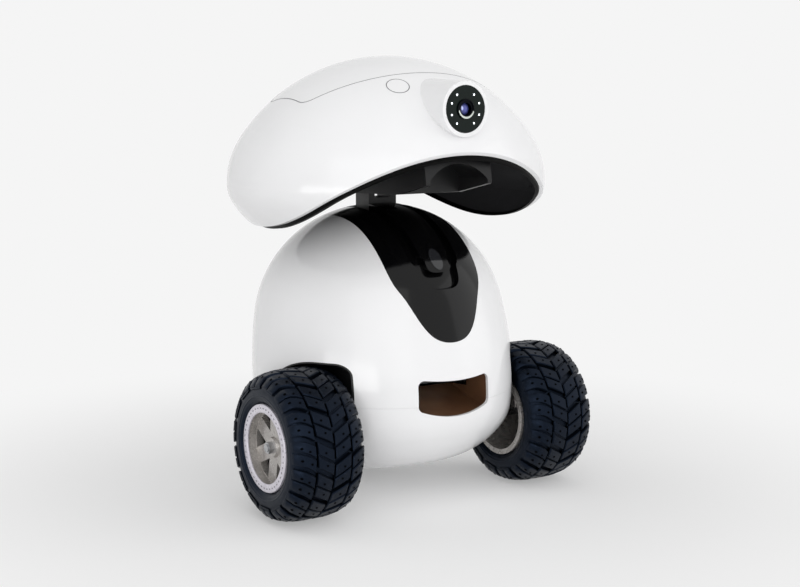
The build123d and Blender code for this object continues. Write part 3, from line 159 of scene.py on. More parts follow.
def maths(tree, operation, first, second):
    """The result of a Math node on two inputs, each of them a socket or a number."""
    node = tree.nodes.new("ShaderNodeMath")
    node.operation = operation
    for place, given in enumerate((first, second)):
        if isinstance(given, bpy.types.NodeSocket):
            tree.links.new(given, node.inputs[place])
        else:
            node.inputs[place].default_value = given
    return node.outputs[0]


def distance_from(tree, place, spot, weights=(1.0, 1.0, 1.0)):
    """Distance of each point from a spot, with a weight for each axis."""
    offset = add(tree, "ShaderNodeVectorMath", {1: spot}, {0: place}, operation="SUBTRACT").outputs[0]
    weighed = add(tree, "ShaderNodeVectorMath", {1: weights}, {0: offset}, operation="MULTIPLY").outputs[0]
    return add(tree, "ShaderNodeVectorMath", links={0: weighed}, operation="LENGTH").outputs["Value"]


def start(name):
    """A new material's tree with its shader linked, the shader, and the Object coordinates."""
    material = bpy.data.materials.get(name) or bpy.data.materials.new(name)
    material.use_nodes = True
    tree = material.node_tree
    tree.nodes.clear()
    shader = add(tree, "ShaderNodeBsdfPrincipled")
    add(tree, "ShaderNodeOutputMaterial", links={"Surface": shader.outputs[0]})
    place = add(tree, "ShaderNodeTexCoord").outputs["Object"]
    return tree, shader, place


def constants(shader, **values):
    """Set the shader's plain inputs; an underscore stands for a space."""
    for name, value in values.items():
        shader.inputs[name.replace("_", " ")].default_value = value


def cloud(tree, place, size_mm, low, high, detail=2.0):
    """A number that drifts between two values over patches of a real size."""
    values = {"Scale": 1 / (size_mm * MM), "Detail": detail}
    noise = add(tree, "ShaderNodeTexNoise", values, {"Vector": place}).outputs[0]
    # Noise seldom leaves the span from 0.3 to 0.7.
    values = {"From Min": 0.3, "From Max": 0.7, "To Min": low, "To Max": high}
    return add(tree, "ShaderNodeMapRange", values, {"Value": noise}).outputs[0]


def two_tones(tree, factor, first, second):
    """A colour between two hex colours."""
    values = {6: linear(first), 7: linear(second)}
    return add(tree, "ShaderNodeMix", values, {0: factor}, data_type="RGBA").outputs[2]


def relief(tree, height, depth_mm):
    """A surface normal with a relief of a real depth."""
    values = {"Strength": 1.0, "Distance": depth_mm * MM}
    return add(tree, "ShaderNodeBump", values, {"Height": height}).outputs[0]


def moulded(name, light, dark, roughness, grain_mm, depth_mm, haze_mm=60, **extra):
    """Moulded plastic or rubber: close tones, uneven polish and the tool's grain."""
    tree, shader, place = start(name)
    tone = two_tones(tree, cloud(tree, place, haze_mm, 0.0, 1.0), light, dark)
    polish = cloud(tree, place, haze_mm * 0.4, roughness * 0.88, roughness * 1.12)
    grain = cloud(tree, place, grain_mm, 0.0, 1.0, 3.0)
    tree.links.new(tone, shader.inputs["Base Color"])
    tree.links.new(polish, shader.inputs["Roughness"])
    tree.links.new(relief(tree, grain, depth_mm), shader.inputs["Normal"])
    constants(shader, **extra)


def worked_metal(name, light, dark, roughness, line_mm, stretch, depth_mm):
    """Metal with tool lines: fine noise drawn out along one or two axes."""
    tree, shader, place = start(name)
    drawn = add(tree, "ShaderNodeMapping", {"Scale": stretch}, {"Vector": place}).outputs[0]
    lines = cloud(tree, drawn, line_mm, 0.0, 1.0, 3.0)
    tree.links.new(two_tones(tree, lines, light, dark), shader.inputs["Base Color"])
    polish = cloud(tree, drawn, line_mm, roughness * 0.8, roughness * 1.2)
    tree.links.new(polish, shader.inputs["Roughness"])
    tree.links.new(relief(tree, lines, depth_mm), shader.inputs["Normal"])
    constants(shader, Metallic=1.0)


# Helpers for meshes

# Faces that meet at less than this many degrees are shaded smooth, unless a call says otherwise.
SMOOTH_UP_TO = 40


def keep(name, mesh, body, slot, material, *stands_for):
    """Keep a mesh as a finished piece that rides on a body."""
    piece = bpy.data.objects.new(name, mesh)
    bpy.context.scene.collection.objects.link(piece)
    mesh.materials.clear()
    mesh.materials.append(material)
    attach(piece, body)
    if stands_for:
        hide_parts(*stands_for)


def plain_mesh(name, points, faces, smooth=SMOOTH_UP_TO):
    """A mesh from points and faces: doubles merged, faces turned outwards, sharp edges marked."""
    mesh = bpy.data.meshes.new(name)
    mesh.from_pydata([tuple(p) for p in points], [], faces)
    work = bmesh.new()
    work.from_mesh(mesh)
    bmesh.ops.remove_doubles(work, verts=work.verts, dist=1e-6)
    bmesh.ops.recalc_face_normals(work, faces=work.faces)
    work.to_mesh(mesh)
    work.free()
    mesh.shade_smooth()
    mesh.set_sharp_from_angle(angle=math.radians(smooth))
    return mesh


def turned(name, section, steps, centre, axis="X", smooth=SMOOTH_UP_TO):
    """Turn a closed section of (along, radius) points in mm about X or Y through a centre in metres."""
    points, faces = [], []
    count = len(section)
    for step in range(steps):
        angle = 2 * math.pi * step / steps
        for along, radius in section:
            a, b = radius * math.cos(angle), radius * math.sin(angle)
            local = (along, a, b) if axis == "X" else (a, along, b)
            points.append(Vector(local) * MM + Vector(centre))
    for step in range(steps):
        here, there = step * count, (step + 1) % steps * count
        for i in range(count):
            j = (i + 1) % count
            faces.append((here + i, here + j, there + j, there + i))
    return plain_mesh(name, points, faces, smooth)


def through(points, steps):
    """A smooth open line (Catmull-Rom) through points, with a number of steps between each pair."""
    knots = [np.array(p) for p in points]
    knots = [knots[0] * 2 - knots[1]] + knots + [knots[-1] * 2 - knots[-2]]
    line = []
    for a, b, c, d in zip(knots, knots[1:], knots[2:], knots[3:]):
        square = 2 * a - 5 * b + 4 * c - d
        cube = 3 * b - a - 3 * c + d
        for i in range(steps):
            t = i / steps
            line.append(0.5 * (2 * b + (c - a) * t + square * t**2 + cube * t**3))
    line.append(knots[-2])
    return [tuple(p) for p in line]


# Geometry Nodes that repeat a small piece


def ring_tree():
    """The tree that repeats a template round an axis and realizes the copies with a finish."""
    name = "Repeat Round Axle"
    tree = bpy.data.node_groups.get(name)
    if tree:
        return tree
    tree = bpy.data.node_groups.new(name, "GeometryNodeTree")
    tree.interface.new_socket("Geometry", in_out="OUTPUT", socket_type="NodeSocketGeometry")
    sockets = (
        ("Template", "NodeSocketObject"),
        ("Finish", "NodeSocketMaterial"),
        ("Centre", "NodeSocketVector"),
        ("Axis", "NodeSocketVector"),
        ("Count", "NodeSocketInt"),
        ("First Angle", "NodeSocketFloat"),
    )
    for label, socket_type in sockets:
        tree.interface.new_socket(label, in_out="INPUT", socket_type=socket_type)
    given = add(tree, "NodeGroupInput").outputs
    index = add(tree, "GeometryNodeInputIndex").outputs[0]
    shape = add(tree, "GeometryNodeObjectInfo", links={"Object": given["Template"]}).outputs["Geometry"]
    angle = maths(tree, "MULTIPLY", maths(tree, "DIVIDE", index, given["Count"]), 2 * math.pi)
    angle = maths(tree, "ADD", angle, given["First Angle"])
    links = {0: given["Axis"], "Scale": angle}
    turn = add(tree, "ShaderNodeVectorMath", links=links, operation="SCALE").outputs[0]
    points = add(tree, "GeometryNodePoints", links={"Count": given["Count"]}).outputs[0]
    links = {"Points": points, "Instance": shape, "Rotation": turn}
    copies = add(tree, "GeometryNodeInstanceOnPoints", links=links).outputs[0]
    links = {"Geometry": copies, "Translation": given["Centre"]}
    placed = add(tree, "GeometryNodeTransform", links=links).outputs[0]
    real = add(tree, "GeometryNodeRealizeInstances", links={"Geometry": placed}).outputs[0]
    links = {"Geometry": real, "Material": given["Finish"]}
    done = add(tree, "GeometryNodeSetMaterial", links=links).outputs[0]
    add(tree, "NodeGroupOutput", links={"Geometry": done})
    return tree


def repeated(name, template, **values):
    """Repeat a template mesh round an axis and give the result as a plain mesh."""
    tree = ring_tree()
    pattern = bpy.data.objects.new(name + "_template", template)
    holder = bpy.data.objects.new(name + "_holder", bpy.data.meshes.new(name + "_holder"))
    for thing in (pattern, holder):
        bpy.context.scene.collection.objects.link(thing)
    modifier = holder.modifiers.new("Repeat", "NODES")
    modifier.node_group = tree
    values["Template"] = pattern
    for item in tree.interface.items_tree:
        key = item.name.replace(" ", "_")
        if item.in_out == "INPUT" and key in values:
            modifier[item.identifier] = values[key]
    mesh = bpy.data.meshes.new_from_object(holder.evaluated_get(bpy.context.evaluated_depsgraph_get()))
    mesh.name = name
    for thing in (pattern, holder):
        bpy.data.objects.remove(thing)
    if not mesh.polygons:
        raise RuntimeError(f"the tree {tree.name} gave no faces for {name}")
    return mesh


def joined(name, *meshes):
    """One mesh from several."""
    work = bmesh.new()
    for mesh in meshes:
        work.from_mesh(mesh)
    whole = bpy.data.meshes.new(name)
    work.to_mesh(whole)
    work.free()
    whole.shade_smooth()
    whole.set_sharp_from_angle(angle=math.radians(SMOOTH_UP_TO))
    return whole


# Finishes

# The cylinder that cuts the head's rim runs along X through this point. The lining turns
# to dead black, in painted shade, between two distances from it.
RIM_AXIS = (0.0, 0.00456, 0.3672)
SHADED_LIP_STARTS, SHADED_LIP_FULL = 147.4 * MM, 148.2 * MM
# The painted reflection of the lens's coating, violet-blue, fades between two distances from its middle.
PAINTED_REFLECTION_FULL, PAINTED_REFLECTION_ENDS = 1.4 * MM, 6.2 * MM
# The painted glint, which glows: its place from the middle of the lens, and its fade; it is longer upwards
# than across.
PAINTED_GLINT_OFFSET = Vector((-2.2, 0.0, 0.7)) * MM
PAINTED_GLINT_WEIGHTS = (1.7, 0.2, 0.8)
PAINTED_GLINT_FADE = {"From Min": 0.6 * MM, "From Max": 1.7 * MM, "To Min": 0.75, "To Max": 0.0}


def shell_finishes(shells):
    """Moulded shells, linings and covers."""
    # Injection-moulded ABS, mirror-polished tool: even white with a soft skin and the
    # faintest waviness in its reflections; 9 mm waves are drawn coarser than real ones.
    moulded("polished_white_abs", shells.white, "#F1F1F2", shells.gloss, 9.0, 0.003, IOR=1.53)
    # The same ABS in piano black: nearly no body colour, so the studio shows in it.
    moulded("piano_black_abs", shells.black, "#060607", 0.13, 9.0, 0.003, IOR=1.36)
    # Spark-eroded black ABS: a fine satin that breaks up reflections, 0.5 mm grain.
    moulded("satin_black_abs", "#0D0D0F", "#121213", 0.4, 0.5, 0.02, IOR=1.42)
    # The head's lining: eroded dark grey inside, and a lip in dead black past the rim's cylinder,
    # so that it reads as a thin dark line of painted shade under the white shell.
    tree, shader, place = start("dark_lining_abs")
    reach = distance_from(tree, place, RIM_AXIS, (0.0, 1.0, 1.0))
    values = {"From Min": SHADED_LIP_STARTS, "From Max": SHADED_LIP_FULL}
    # Painted shade: past the rim's cylinder the lining turns dead black.
    shaded_lip = add(tree, "ShaderNodeMapRange", values, {"Value": reach}).outputs[0]
    tree.links.new(two_tones(tree, shaded_lip, "#404042", "#020202"), shader.inputs["Base Color"])
    grain = cloud(tree, place, 0.7, 0.0, 1.0, 3.0)
    tree.links.new(relief(tree, grain, 0.015), shader.inputs["Normal"])
    tree.links.new(cloud(tree, place, 20, 0.42, 0.52), shader.inputs["Roughness"])
    constants(shader, IOR=1.16)
    # Dark brown polypropylene of the ramp: waxy, satin, slightly mottled.
    moulded("brown_chute_pp", shells.chute, "#573B28", 0.4, 0.7, 0.02, haze_mm=25, IOR=1.49)
    # Painted shade in the seams round the lid and the button: dull grey, no gloss.
    moulded("grey_seam_shadow", "#77777A", "#6E6E71", 0.7, 1.0, 0.002, IOR=1.3)
    # Grey translucent-looking ABS of the hopper and the tray.
    moulded("grey_hopper_abs", "#8F9294", "#84878A", 0.45, 0.6, 0.02, IOR=1.53)
    # Acetal of the treat rotor and the gears: waxy white, a little light goes in.
    moulded("white_acetal", "#E9E6DD", "#DFDBD0", 0.33, 0.8, 0.01, IOR=1.48, Subsurface_Weight=0.1,
            Subsurface_Scale=0.002)
    # Smoked acrylic of the sensor window: dark and glassy.
    moulded("smoked_acrylic", "#2A2B2E", "#232427", 0.07, 12.0, 0.002, IOR=1.49, Coat_Weight=0.5,
            Coat_Roughness=0.03)


def wheel_finishes(wheels):
    """Rubber and metal of the wheels and the running gear."""
    # Moulded tyre rubber: blue-black, semi-matt, its highlights cool; 0.8 mm skin grain.
    moulded("blue_black_tyre_rubber", wheels.rubber, "#05080D", 0.42, 0.8, 0.02, haze_mm=18, IOR=1.36,
            Specular_Tint=linear("#9DB8E8"))
    # Painted shade in the tread's pin holes and in the rims behind their windows: dull black, as in deep
    # shade.
    moulded("shaded_tyre_rubber", "#020203", "#010101", 0.9, 0.8, 0.02, IOR=1.1)
    # Satin silver paint over ABS rims: fine flakes, 0.6 mm so that they show.
    moulded("satin_silver_rim_paint", wheels.silver, "#A9A5A1", 0.28, 0.6, 0.003, haze_mm=14, Metallic=0.55,
            Coat_Weight=0.3, Coat_Roughness=0.1)
    # Satin-plated ring: lilac white, between paint and metal, lightly brushed.
    moulded("bright_plated_ring", "#DEDAE2", "#CFCBD4", 0.3, 0.5, 0.004, haze_mm=8, Metallic=0.35)
    # Pressed dashes in the ring: shaded plating.
    moulded("shaded_plating", "#8B8990", "#77757C", 0.45, 0.5, 0.01, haze_mm=6, Metallic=0.8)
    # Turned steel: tool lines run round axles that lie along X, so the noise is drawn out along Y and Z.
    worked_metal("turned_steel", "#BFC0C2", "#9FA1A4", 0.28, 0.25, (1.0, 0.08, 0.08), 0.004)
    # Deep-drawn motor cans: cool grey zinc with faint draw lines along X.
    worked_metal("zinc_motor_can", "#A6A9AC", "#8F9296", 0.36, 0.4, (0.06, 1.0, 1.0), 0.005)
    # Turned brass posts.
    worked_metal("turned_brass", "#C9A55A", "#AD8A43", 0.3, 0.25, (0.1, 0.1, 1.0), 0.004)


def electric_finishes(face):
    """Camera face, lamps, boards and battery."""
    # Green-black polished acrylic cover over the lamps.
    moulded("green_black_camera_cover", face.plate, "#0B1612", 0.14, 10.0, 0.002, IOR=1.3)
    # Anodised black barrel: satin metal with faint lines along it.
    worked_metal("black_anodised_barrel", "#1B1C20", "#101114", 0.3, 0.3, (1.0, 0.15, 1.0), 0.006)
    # Smoky epoxy of an infrared lamp: dark, glassy, hard to tell from the cover.
    moulded("smoky_lamp_epoxy", "#26302E", "#1C2523", 0.1, 1.5, 0.002, IOR=1.52)
    # The lit die in the epoxy: a cold white spot.
    tree, shader, place = start("lit_lamp_die")
    tone = two_tones(tree, cloud(tree, place, 1.0, 0, 1), "#F4F8FF", "#DDE9F4")
    tree.links.new(tone, shader.inputs["Base Color"])
    constants(shader, Roughness=0.3, IOR=1.52, Emission_Color=linear("#F2F8FF"), Emission_Strength=face.glow)
    # Satin nickel of the lens's bevel: pale, a painted highlight below the glass.
    worked_metal("satin_nickel_bevel", "#E4EAE4", "#C8D0C8", 0.22, 0.3, (1.0, 0.1, 1.0), 0.003)
    # Coated lens: nearly black glass, with the violet-blue reflection of its coating painted into its colour
    # towards its middle, and a painted glint of a lamp on one side that glows.
    tree, shader, place = start("violet_coated_lens")
    middle = middle_of("lens_glass")
    # Painted reflection: the coating's violet-blue, strongest in the middle.
    reach = distance_from(tree, place, middle)
    values = {"From Min": PAINTED_REFLECTION_FULL, "From Max": PAINTED_REFLECTION_ENDS}
    fade = add(tree, "ShaderNodeMapRange", values, {"Value": reach}).outputs[0]
    tree.links.new(two_tones(tree, fade, face.coating, "#0B0A18"), shader.inputs["Base Color"])
    tree.links.new(cloud(tree, place, 3.0, 0.03, 0.06), shader.inputs["Roughness"])
    # A painted glint: a glowing spot that stands for the reflection of a lamp.
    reach = distance_from(tree, place, middle + PAINTED_GLINT_OFFSET, PAINTED_GLINT_WEIGHTS)
    glow = add(tree, "ShaderNodeMapRange", PAINTED_GLINT_FADE, {"Value": reach}, interpolation_type="SMOOTHSTEP")
    tree.links.new(glow.outputs[0], shader.inputs["Emission Strength"])
    constants(shader, IOR=1.5, Emission_Color=linear("#D5DEFF"))
    # Solder mask over fibreglass, with its weave just showing.
    moulded("green_solder_mask", "#14502E", "#0F3F25", 0.34, 0.9, 0.02, haze_mm=7, IOR=1.5)
    # Heat-shrunk blue sleeve of the cells.
    moulded("blue_shrink_sleeve", "#1F4C9C", "#183F86", 0.25, 3.0, 0.04, haze_mm=20, IOR=1.5)


SLOT_FINISH = {
    "white_gloss": "polished_white_abs",
    "black_gloss": "piano_black_abs",
    "black_satin": "satin_black_abs",
    "tyre_rubber": "blue_black_tyre_rubber",
    "rim_silver": "satin_silver_rim_paint",
    "bright_ring": "bright_plated_ring",
    "steel": "turned_steel",
    "motor_can": "zinc_motor_can",
    "brass_post": "turned_brass",
    "camera_black": "green_black_camera_cover",
    "lamp_clear": "smoky_lamp_epoxy",
    "lens_glass": "violet_coated_lens",
    "window_smoke": "smoked_acrylic",
    "board_green": "green_solder_mask",
    "battery_blue": "blue_shrink_sleeve",
    "chute_brown": "brown_chute_pp",
    "hopper_grey": "grey_hopper_abs",
    "gear_white": "white_acetal",
}
# Nodes whose finish differs from the rest of their slot.
NODE_FINISH = {"lens_barrel": "black_anodised_barrel", "head_lining": "dark_lining_abs"}


def finish(name):
    """A finish by its name."""
    return bpy.data.materials[name]


def middle_of(node):
    """Middle of a CAD node's box, in metres."""
    low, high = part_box(node)
    return Vector(((low[0] + high[0]) / 2, (low[1] + high[1]) / 2, (low[2] + high[2]) / 2))


# Seams: strips of painted shade

# Directions out of the head are taken from this point.
HEAD_MIDDLE = Vector((0.0, -0.003, 0.22))
SHARP_ANGLE = math.radians(35)
# An outer edge has a face that looks outwards by at least this cosine, and lies this high.
OUTWARDS = 0.75
LOWEST_SEAM = 0.30
# The strip's half width, and its top and bottom measured outwards from the edge.
SEAM_HALF_WIDTH = 0.28 * MM
SEAM_TOP, SEAM_BOTTOM = 0.04 * MM, -0.16 * MM


def outer_edges(node):
    """Ends and outward direction of each sharp outer edge of a CAD cover, from a merged copy."""
    work = bmesh.new()
    work.from_mesh(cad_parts[node].data)
    bmesh.ops.remove_doubles(work, verts=work.verts, dist=2e-6)
    edges = []
    for edge in work.edges:
        if len(edge.link_faces) != 2:
            continue
        a, b = (face.normal for face in edge.link_faces)
        first, second = (vert.co.copy() for vert in edge.verts)
        spot = (first + second) / 2
        out = (spot - HEAD_MIDDLE).normalized()
        looks_out = max(a.dot(out), b.dot(out)) > OUTWARDS
        if a.angle(b, 0.0) > SHARP_ANGLE and looks_out and spot.z > LOWEST_SEAM:
            edges.append((first, second, out))
    work.free()
    if not edges:
        raise RuntimeError(f"{node} has no sharp outer edge")
    return edges


def seam_mesh(name, edges):
    """A thin strip along edges: one small box on each."""
    points, faces = [], []
    corners = ((1, SEAM_TOP), (-1, SEAM_TOP), (-1, SEAM_BOTTOM), (1, SEAM_BOTTOM))
    box = ((0, 1, 5, 4), (1, 2, 6, 5), (2, 3, 7, 6), (3, 0, 4, 7), (0, 3, 2, 1), (4, 5, 6, 7))
    for a, b, out in edges:
        across = (b - a).normalized().cross(out).normalized() * SEAM_HALF_WIDTH
        base = len(points)
        for spot in (a, b):
            points += [spot + across * side + out * height for side, height in corners]
        faces += [tuple(base + i for i in face) for face in box]
    mesh = bpy.data.meshes.new(name)
    mesh.from_pydata([tuple(p) for p in points], [], faces)
    mesh.update()
    return mesh


class PETCAM_OT_seams(bpy.types.Operator):
    """Grey strips of painted shade in the seams round the crown lid and round the push button"""

    bl_idname = "petcam.seams"
    bl_label = "Seams"

    def execute(self, context):
        for node, name in (("crown_lid", "lid_seam"), ("power_button", "button_seam")):
            # Each strip is painted shade in the gap round its cover.
            strip = seam_mesh(name, outer_edges(node))
            keep(name, strip, node, "black_satin", finish("grey_seam_shadow"))
        return {"FINISHED"}


# Tyres, in mm unless a line says otherwise

TYRE_RADIUS = 57.5
HALF_TYRE = 30.5
# How far the crown drops below the full radius, at shares of the half width.
CROWN_SHARES = (0.0, 0.30, 0.42, 0.62, 0.82, 0.92, 1.0)
CROWN_DROPS = (0.0, 0.0, 0.25, 1.35, 3.4, 6.3, 10.6)
# Middle of each wheel along X, in metres.
WHEEL_X = 0.1082
# The core of a lug shows in its cut; it starts at this radius and has its own small bevel.
CORE_FOOT = 49.0
CORE_BEVEL = 0.2
# The two halves of a lug reach this far below the bottom of their cut, which is
# this share of the lug wide to each side.
HALF_DEPTH = 4.0
CUT_SHARE = 0.035
# A lug is at least this high.
LEAST_HEIGHT = 1.0
# Outlines of the two lugs of one pitch, in shares of the half width and of the pitch.
# The middle lug starts 0.7 mm beside the tyre's middle.
MIDDLE_START = 0.7 / HALF_TYRE
MIDDLE_LUG = ((MIDDLE_START, 0.0), (0.45, 0.30), (0.45, 1.12), (MIDDLE_START, 0.80))
SHOULDER_LUG = ((0.50, 0.14), (0.985, 0.40), (0.985, 1.22), (0.50, 0.98))
# Each lug's outline, the share of the lug at which it is cut, and how far it bows.
LUGS = ((MIDDLE_LUG, 0.48, 0.0), (SHOULDER_LUG, 0.52, 1.6))
# Pin holes of one pitch: shares of the half width and of the pitch; their radius and sides.
PIN_SPOTS = ((0.22, 0.34), (0.26, 0.74), (0.62, 0.44), (0.66, 0.84), (0.84, 0.56), (0.84, 0.96))
PIN_RADIUS = 0.85
PIN_SIDES = 10
# A pin hole's disc stands this far above the lug, is dished by this much and reaches this deep.
PIN_LIFT, PIN_DISH, PIN_DEPTH = 0.05, 0.03, 0.4
# The carcass: side wall and crown from the bead to the middle, and two fine ribs on the wall.
WALL = ((26.6, 33.5), (28.8, 36.4), (29.8, 40.6), (29.2, 44.6), (27.6, 48.0), (24.4, 50.3))
CROWN = ((24.4, 50.3), (18.0, 52.2), (9.0, 53.3), (0.0, 53.6))
BEAD = (26.6, 31.0)
RIB_RADII = (37.2, 39.0)
RIB_HEIGHT, RIB_WIDTH = 0.35, 0.45


def crown_radius(across):
    """Radius of the tread's outer surface at a distance from the tyre's middle, in mm."""
    return TYRE_RADIUS - float(np.interp(abs(across) / HALF_TYRE, CROWN_SHARES, CROWN_DROPS))


def wheel_centre(name, side):
    """Middle of a wheel, on the axis of its rim."""
    centre = middle_of(name + "_rim")
    centre.x = side * WHEEL_X
    return centre


def lug_mesh(corners, top_drop, bottom_radius, bevel, side, bow):
    """A tread block on a four-cornered outline of the rolled-out tyre, with bevelled edges."""
    corners = [np.array(c, float) for c in corners]
    length = np.linalg.norm(corners[1] - corners[0])
    width = np.linalg.norm(corners[3] - corners[0])
    # Each edge has two lines of points in one place: its foot, and the start of its bevel.
    across = [0.0, 0.0, *np.linspace(bevel / length, 1 - bevel / length, 5), 1.0, 1.0]
    around = [0.0, 0.0, *np.linspace(bevel / width, 1 - bevel / width, 2), 1.0, 1.0]
    points, faces = [], []
    for j, v in enumerate(around):
        for i, u in enumerate(across):
            near = (1 - u) * corners[0] + u * corners[1]
            spot = (1 - v) * near + v * ((1 - u) * corners[3] + u * corners[2])
            spot[1] += bow * math.sin(math.pi * u)
            edge = min(i, j, len(across) - 1 - i, len(around) - 1 - j)
            radius = crown_radius(spot[0]) - top_drop
            if edge == 0:
                radius = min(bottom_radius, radius - LEAST_HEIGHT)
            elif edge == 1:
                radius -= bevel
            angle = -spot[1] / TYRE_RADIUS
            points.append((side * spot[0] * MM, radius * math.cos(angle) * MM, radius * math.sin(angle) * MM))
    count = len(across)
    for j in range(len(around) - 1):
        for i in range(count - 1):
            a = j * count + i
            faces.append((a, a + 1, a + count + 1, a + count))
    last = (len(around) - 1) * count
    rim = list(range(count)) + [j * count + count - 1 for j in range(1, len(around))]
    rim += [last + i for i in range(count - 2, -1, -1)] + [j * count for j in range(len(around) - 2, 0, -1)]
    faces.append(tuple(rim))
    return plain_mesh("tread_block", points, faces, 50)


def split_block(corners, share):
    """Two outlines either side of a cut along an outline."""
    a, b, c, d = [np.array(p, float) for p in corners]
    near, far = share - CUT_SHARE, share + CUT_SHARE
    return (
        [a, b, b + (c - b) * near, a + (d - a) * near],
        [a + (d - a) * far, b + (c - b) * far, c, d],
    )


def tread_blocks(wheels, side, outer):
    """The lugs of one pitch on one half of a tyre."""
    pitch = 2 * math.pi * TYRE_RADIUS / wheels.pitches
    bevel = wheels.lug_bevel / MM
    sipe = wheels.sipe / MM
    blocks = []
    for shares, cut, bow in LUGS:
        outline = [(outer * HALF_TYRE * across, pitch * around) for across, around in shares]
        blocks.append(lug_mesh(outline, sipe, CORE_FOOT, CORE_BEVEL, side, bow))
        for part in split_block(outline, cut):
            blocks.append(lug_mesh(part, 0.0, TYRE_RADIUS - sipe - HALF_DEPTH, bevel, side, bow))
    return joined("tread_blocks", *blocks)


def pin_holes(wheels, side, outer):
    """Small round holes in the lugs of one pitch, drawn as dished discs in painted shade."""
    pitch = 2 * math.pi * TYRE_RADIUS / wheels.pitches
    discs = []
    for across, around in PIN_SPOTS:
        x = outer * across * HALF_TYRE
        radius = crown_radius(x) + PIN_LIFT
        slope = (crown_radius(x + 0.5 * outer) - crown_radius(x - 0.5 * outer)) * outer
        points = [(x, radius - PIN_DISH, 0.0)]
        for i in range(PIN_SIDES):
            turn = 2 * math.pi * i / PIN_SIDES
            dx, dz = PIN_RADIUS * math.cos(turn), PIN_RADIUS * math.sin(turn)
            points.append((x + dx, radius + dx * slope, dz))
        points += [(p[0], p[1] - PIN_DEPTH, p[2]) for p in points[1:]]
        faces = []
        for i in range(PIN_SIDES):
            here, there = 1 + i, 1 + (i + 1) % PIN_SIDES
            faces += [(0, here, there), (here, here + PIN_SIDES, there + PIN_SIDES, there)]
        faces.append(tuple(range(1 + PIN_SIDES, 1 + 2 * PIN_SIDES)))
        lean = Matrix.Rotation(-around * pitch / TYRE_RADIUS, 3, "X")
        placed = [lean @ Vector((side * p[0], p[1], p[2])) * MM for p in points]
        discs.append(plain_mesh("pin_hole", placed, faces))
    return joined("pin_holes", *discs)


class PETCAM_OT_tyres(bpy.types.Operator):
    """Moulded tyres: a rounded carcass with fine side ribs and chevrons of bevelled, cut lugs"""

    bl_idname = "petcam.tyres"
    bl_label = "Tyres"

    def execute(self, context):
        wheels = context.scene.petcam_wheels
        rubber = finish("blue_black_tyre_rubber")
        shade = finish("shaded_tyre_rubber")
        half = [BEAD]
        for x, r in through(WALL, 6):
            lift = sum(math.exp(-(((r - level) / RIB_WIDTH) ** 2)) for level in RIB_RADII)
            half.append((x + RIB_HEIGHT * lift, r))
        half += through(CROWN, 4)[1:]
        section = half + [(-x, r) for x, r in reversed(half[:-1])]
        for side, name in ((1, "left"), (-1, "right")):
            centre = wheel_centre(name, side)
            body = name + "_wheel"
            values = {"Centre": centre, "Axis": (1.0, 0.0, 0.0), "Count": wheels.pitches}
            parts = [turned("carcass", section, 120, centre, "X", smooth=60)]
            holes = []
            for outer, first in ((1, 0.0), (-1, math.pi / wheels.pitches)):
                blocks = tread_blocks(wheels, side, outer)
                parts.append(repeated("tread", blocks, Finish=rubber, First_Angle=first, **values))
                dots = pin_holes(wheels, side, outer)
                holes.append(repeated("holes", dots, Finish=shade, First_Angle=first, **values))
            for part in parts:
                part.materials.clear()
            moulding = joined(name + "_tyre_moulded", *parts)
            keep(name + "_tyre_moulded", moulding, body, "tyre_rubber", rubber, name + "_tyre")
            pins = joined(name + "_tread_pin_holes", *holes)
            keep(name + "_tread_pin_holes", pins, body, "tyre_rubber", shade)
        return {"FINISHED"}


# Rims: sections in mm, outwards from the wheel's middle and away from its axis

RING_SECTION = (
    (26.7, 27.8),
    (26.7, 33.4),
    (28.1, 33.4),
    (28.55, 33.25),
    (28.8, 32.8),
    (28.8, 27.5),
    (28.65, 27.0),
    (28.2, 26.8),
    (27.4, 26.9),
)
# A dark disc behind the rim's windows: painted shade where the rim's inside lies in shadow.
SHADE_DISC_SECTION = ((13.6, 9.4), (13.6, 26.4), (14.6, 26.4), (14.6, 9.4))
# A dash lies on the ring's face: its length round the ring, its height, and its two levels.
DASH_RADIUS = 30.4
DASH_LENGTH, DASH_HEIGHT = 1.5, 0.9
DASH_LEVELS = (28.7, 28.92)


class PETCAM_OT_rims(bpy.types.Operator):
    """Bright rings with pressed dashes, and dark discs of painted shade behind the rims' windows"""

    bl_idname = "petcam.rims"
    bl_label = "Rims and rings"

    def execute(self, context):
        wheels = context.scene.petcam_wheels
        plating = finish("bright_plated_ring")
        shade = finish("shaded_plating")
        for side, name in ((1, "left"), (-1, "right")):
            centre = wheel_centre(name, side)
            body = name + "_wheel"
            band = turned("band", [(side * x, r) for x, r in RING_SECTION], 120, centre, "X", smooth=50)
            keep(name + "_bright_ring", band, body, "bright_ring", plating, name + "_bead_ring")
            points = []
            for level in DASH_LEVELS:
                for a, b in ((-1, -1), (1, -1), (1, 1), (-1, 1)):
                    spot = (side * level, DASH_RADIUS + a * DASH_HEIGHT / 2, b * DASH_LENGTH / 2)
                    points.append(Vector(spot) * MM)
            faces = [(0, 1, 2, 3), (4, 5, 6, 7), (0, 1, 5, 4), (1, 2, 6, 5), (2, 3, 7, 6), (3, 0, 4, 7)]
            dash = plain_mesh("dash", points, faces)
            values = {"Centre": centre, "Axis": (1.0, 0.0, 0.0), "Count": wheels.dashes}
            dashes = repeated("dashes", dash, Finish=shade, First_Angle=0.0, **values)
            keep(name + "_ring_dashes", dashes, body, "bright_ring", shade)
            # Painted shade: a dull black disc behind the windows.
            shield = turned("shield", [(side * x, r) for x, r in SHADE_DISC_SECTION], 72, centre, "X")
            keep(name + "_dust_shield", shield, body, "black_satin", finish("shaded_tyre_rubber"))
        return {"FINISHED"}


# Camera face: sections in mm, backwards from the barrel's or the lamps' front, and radius

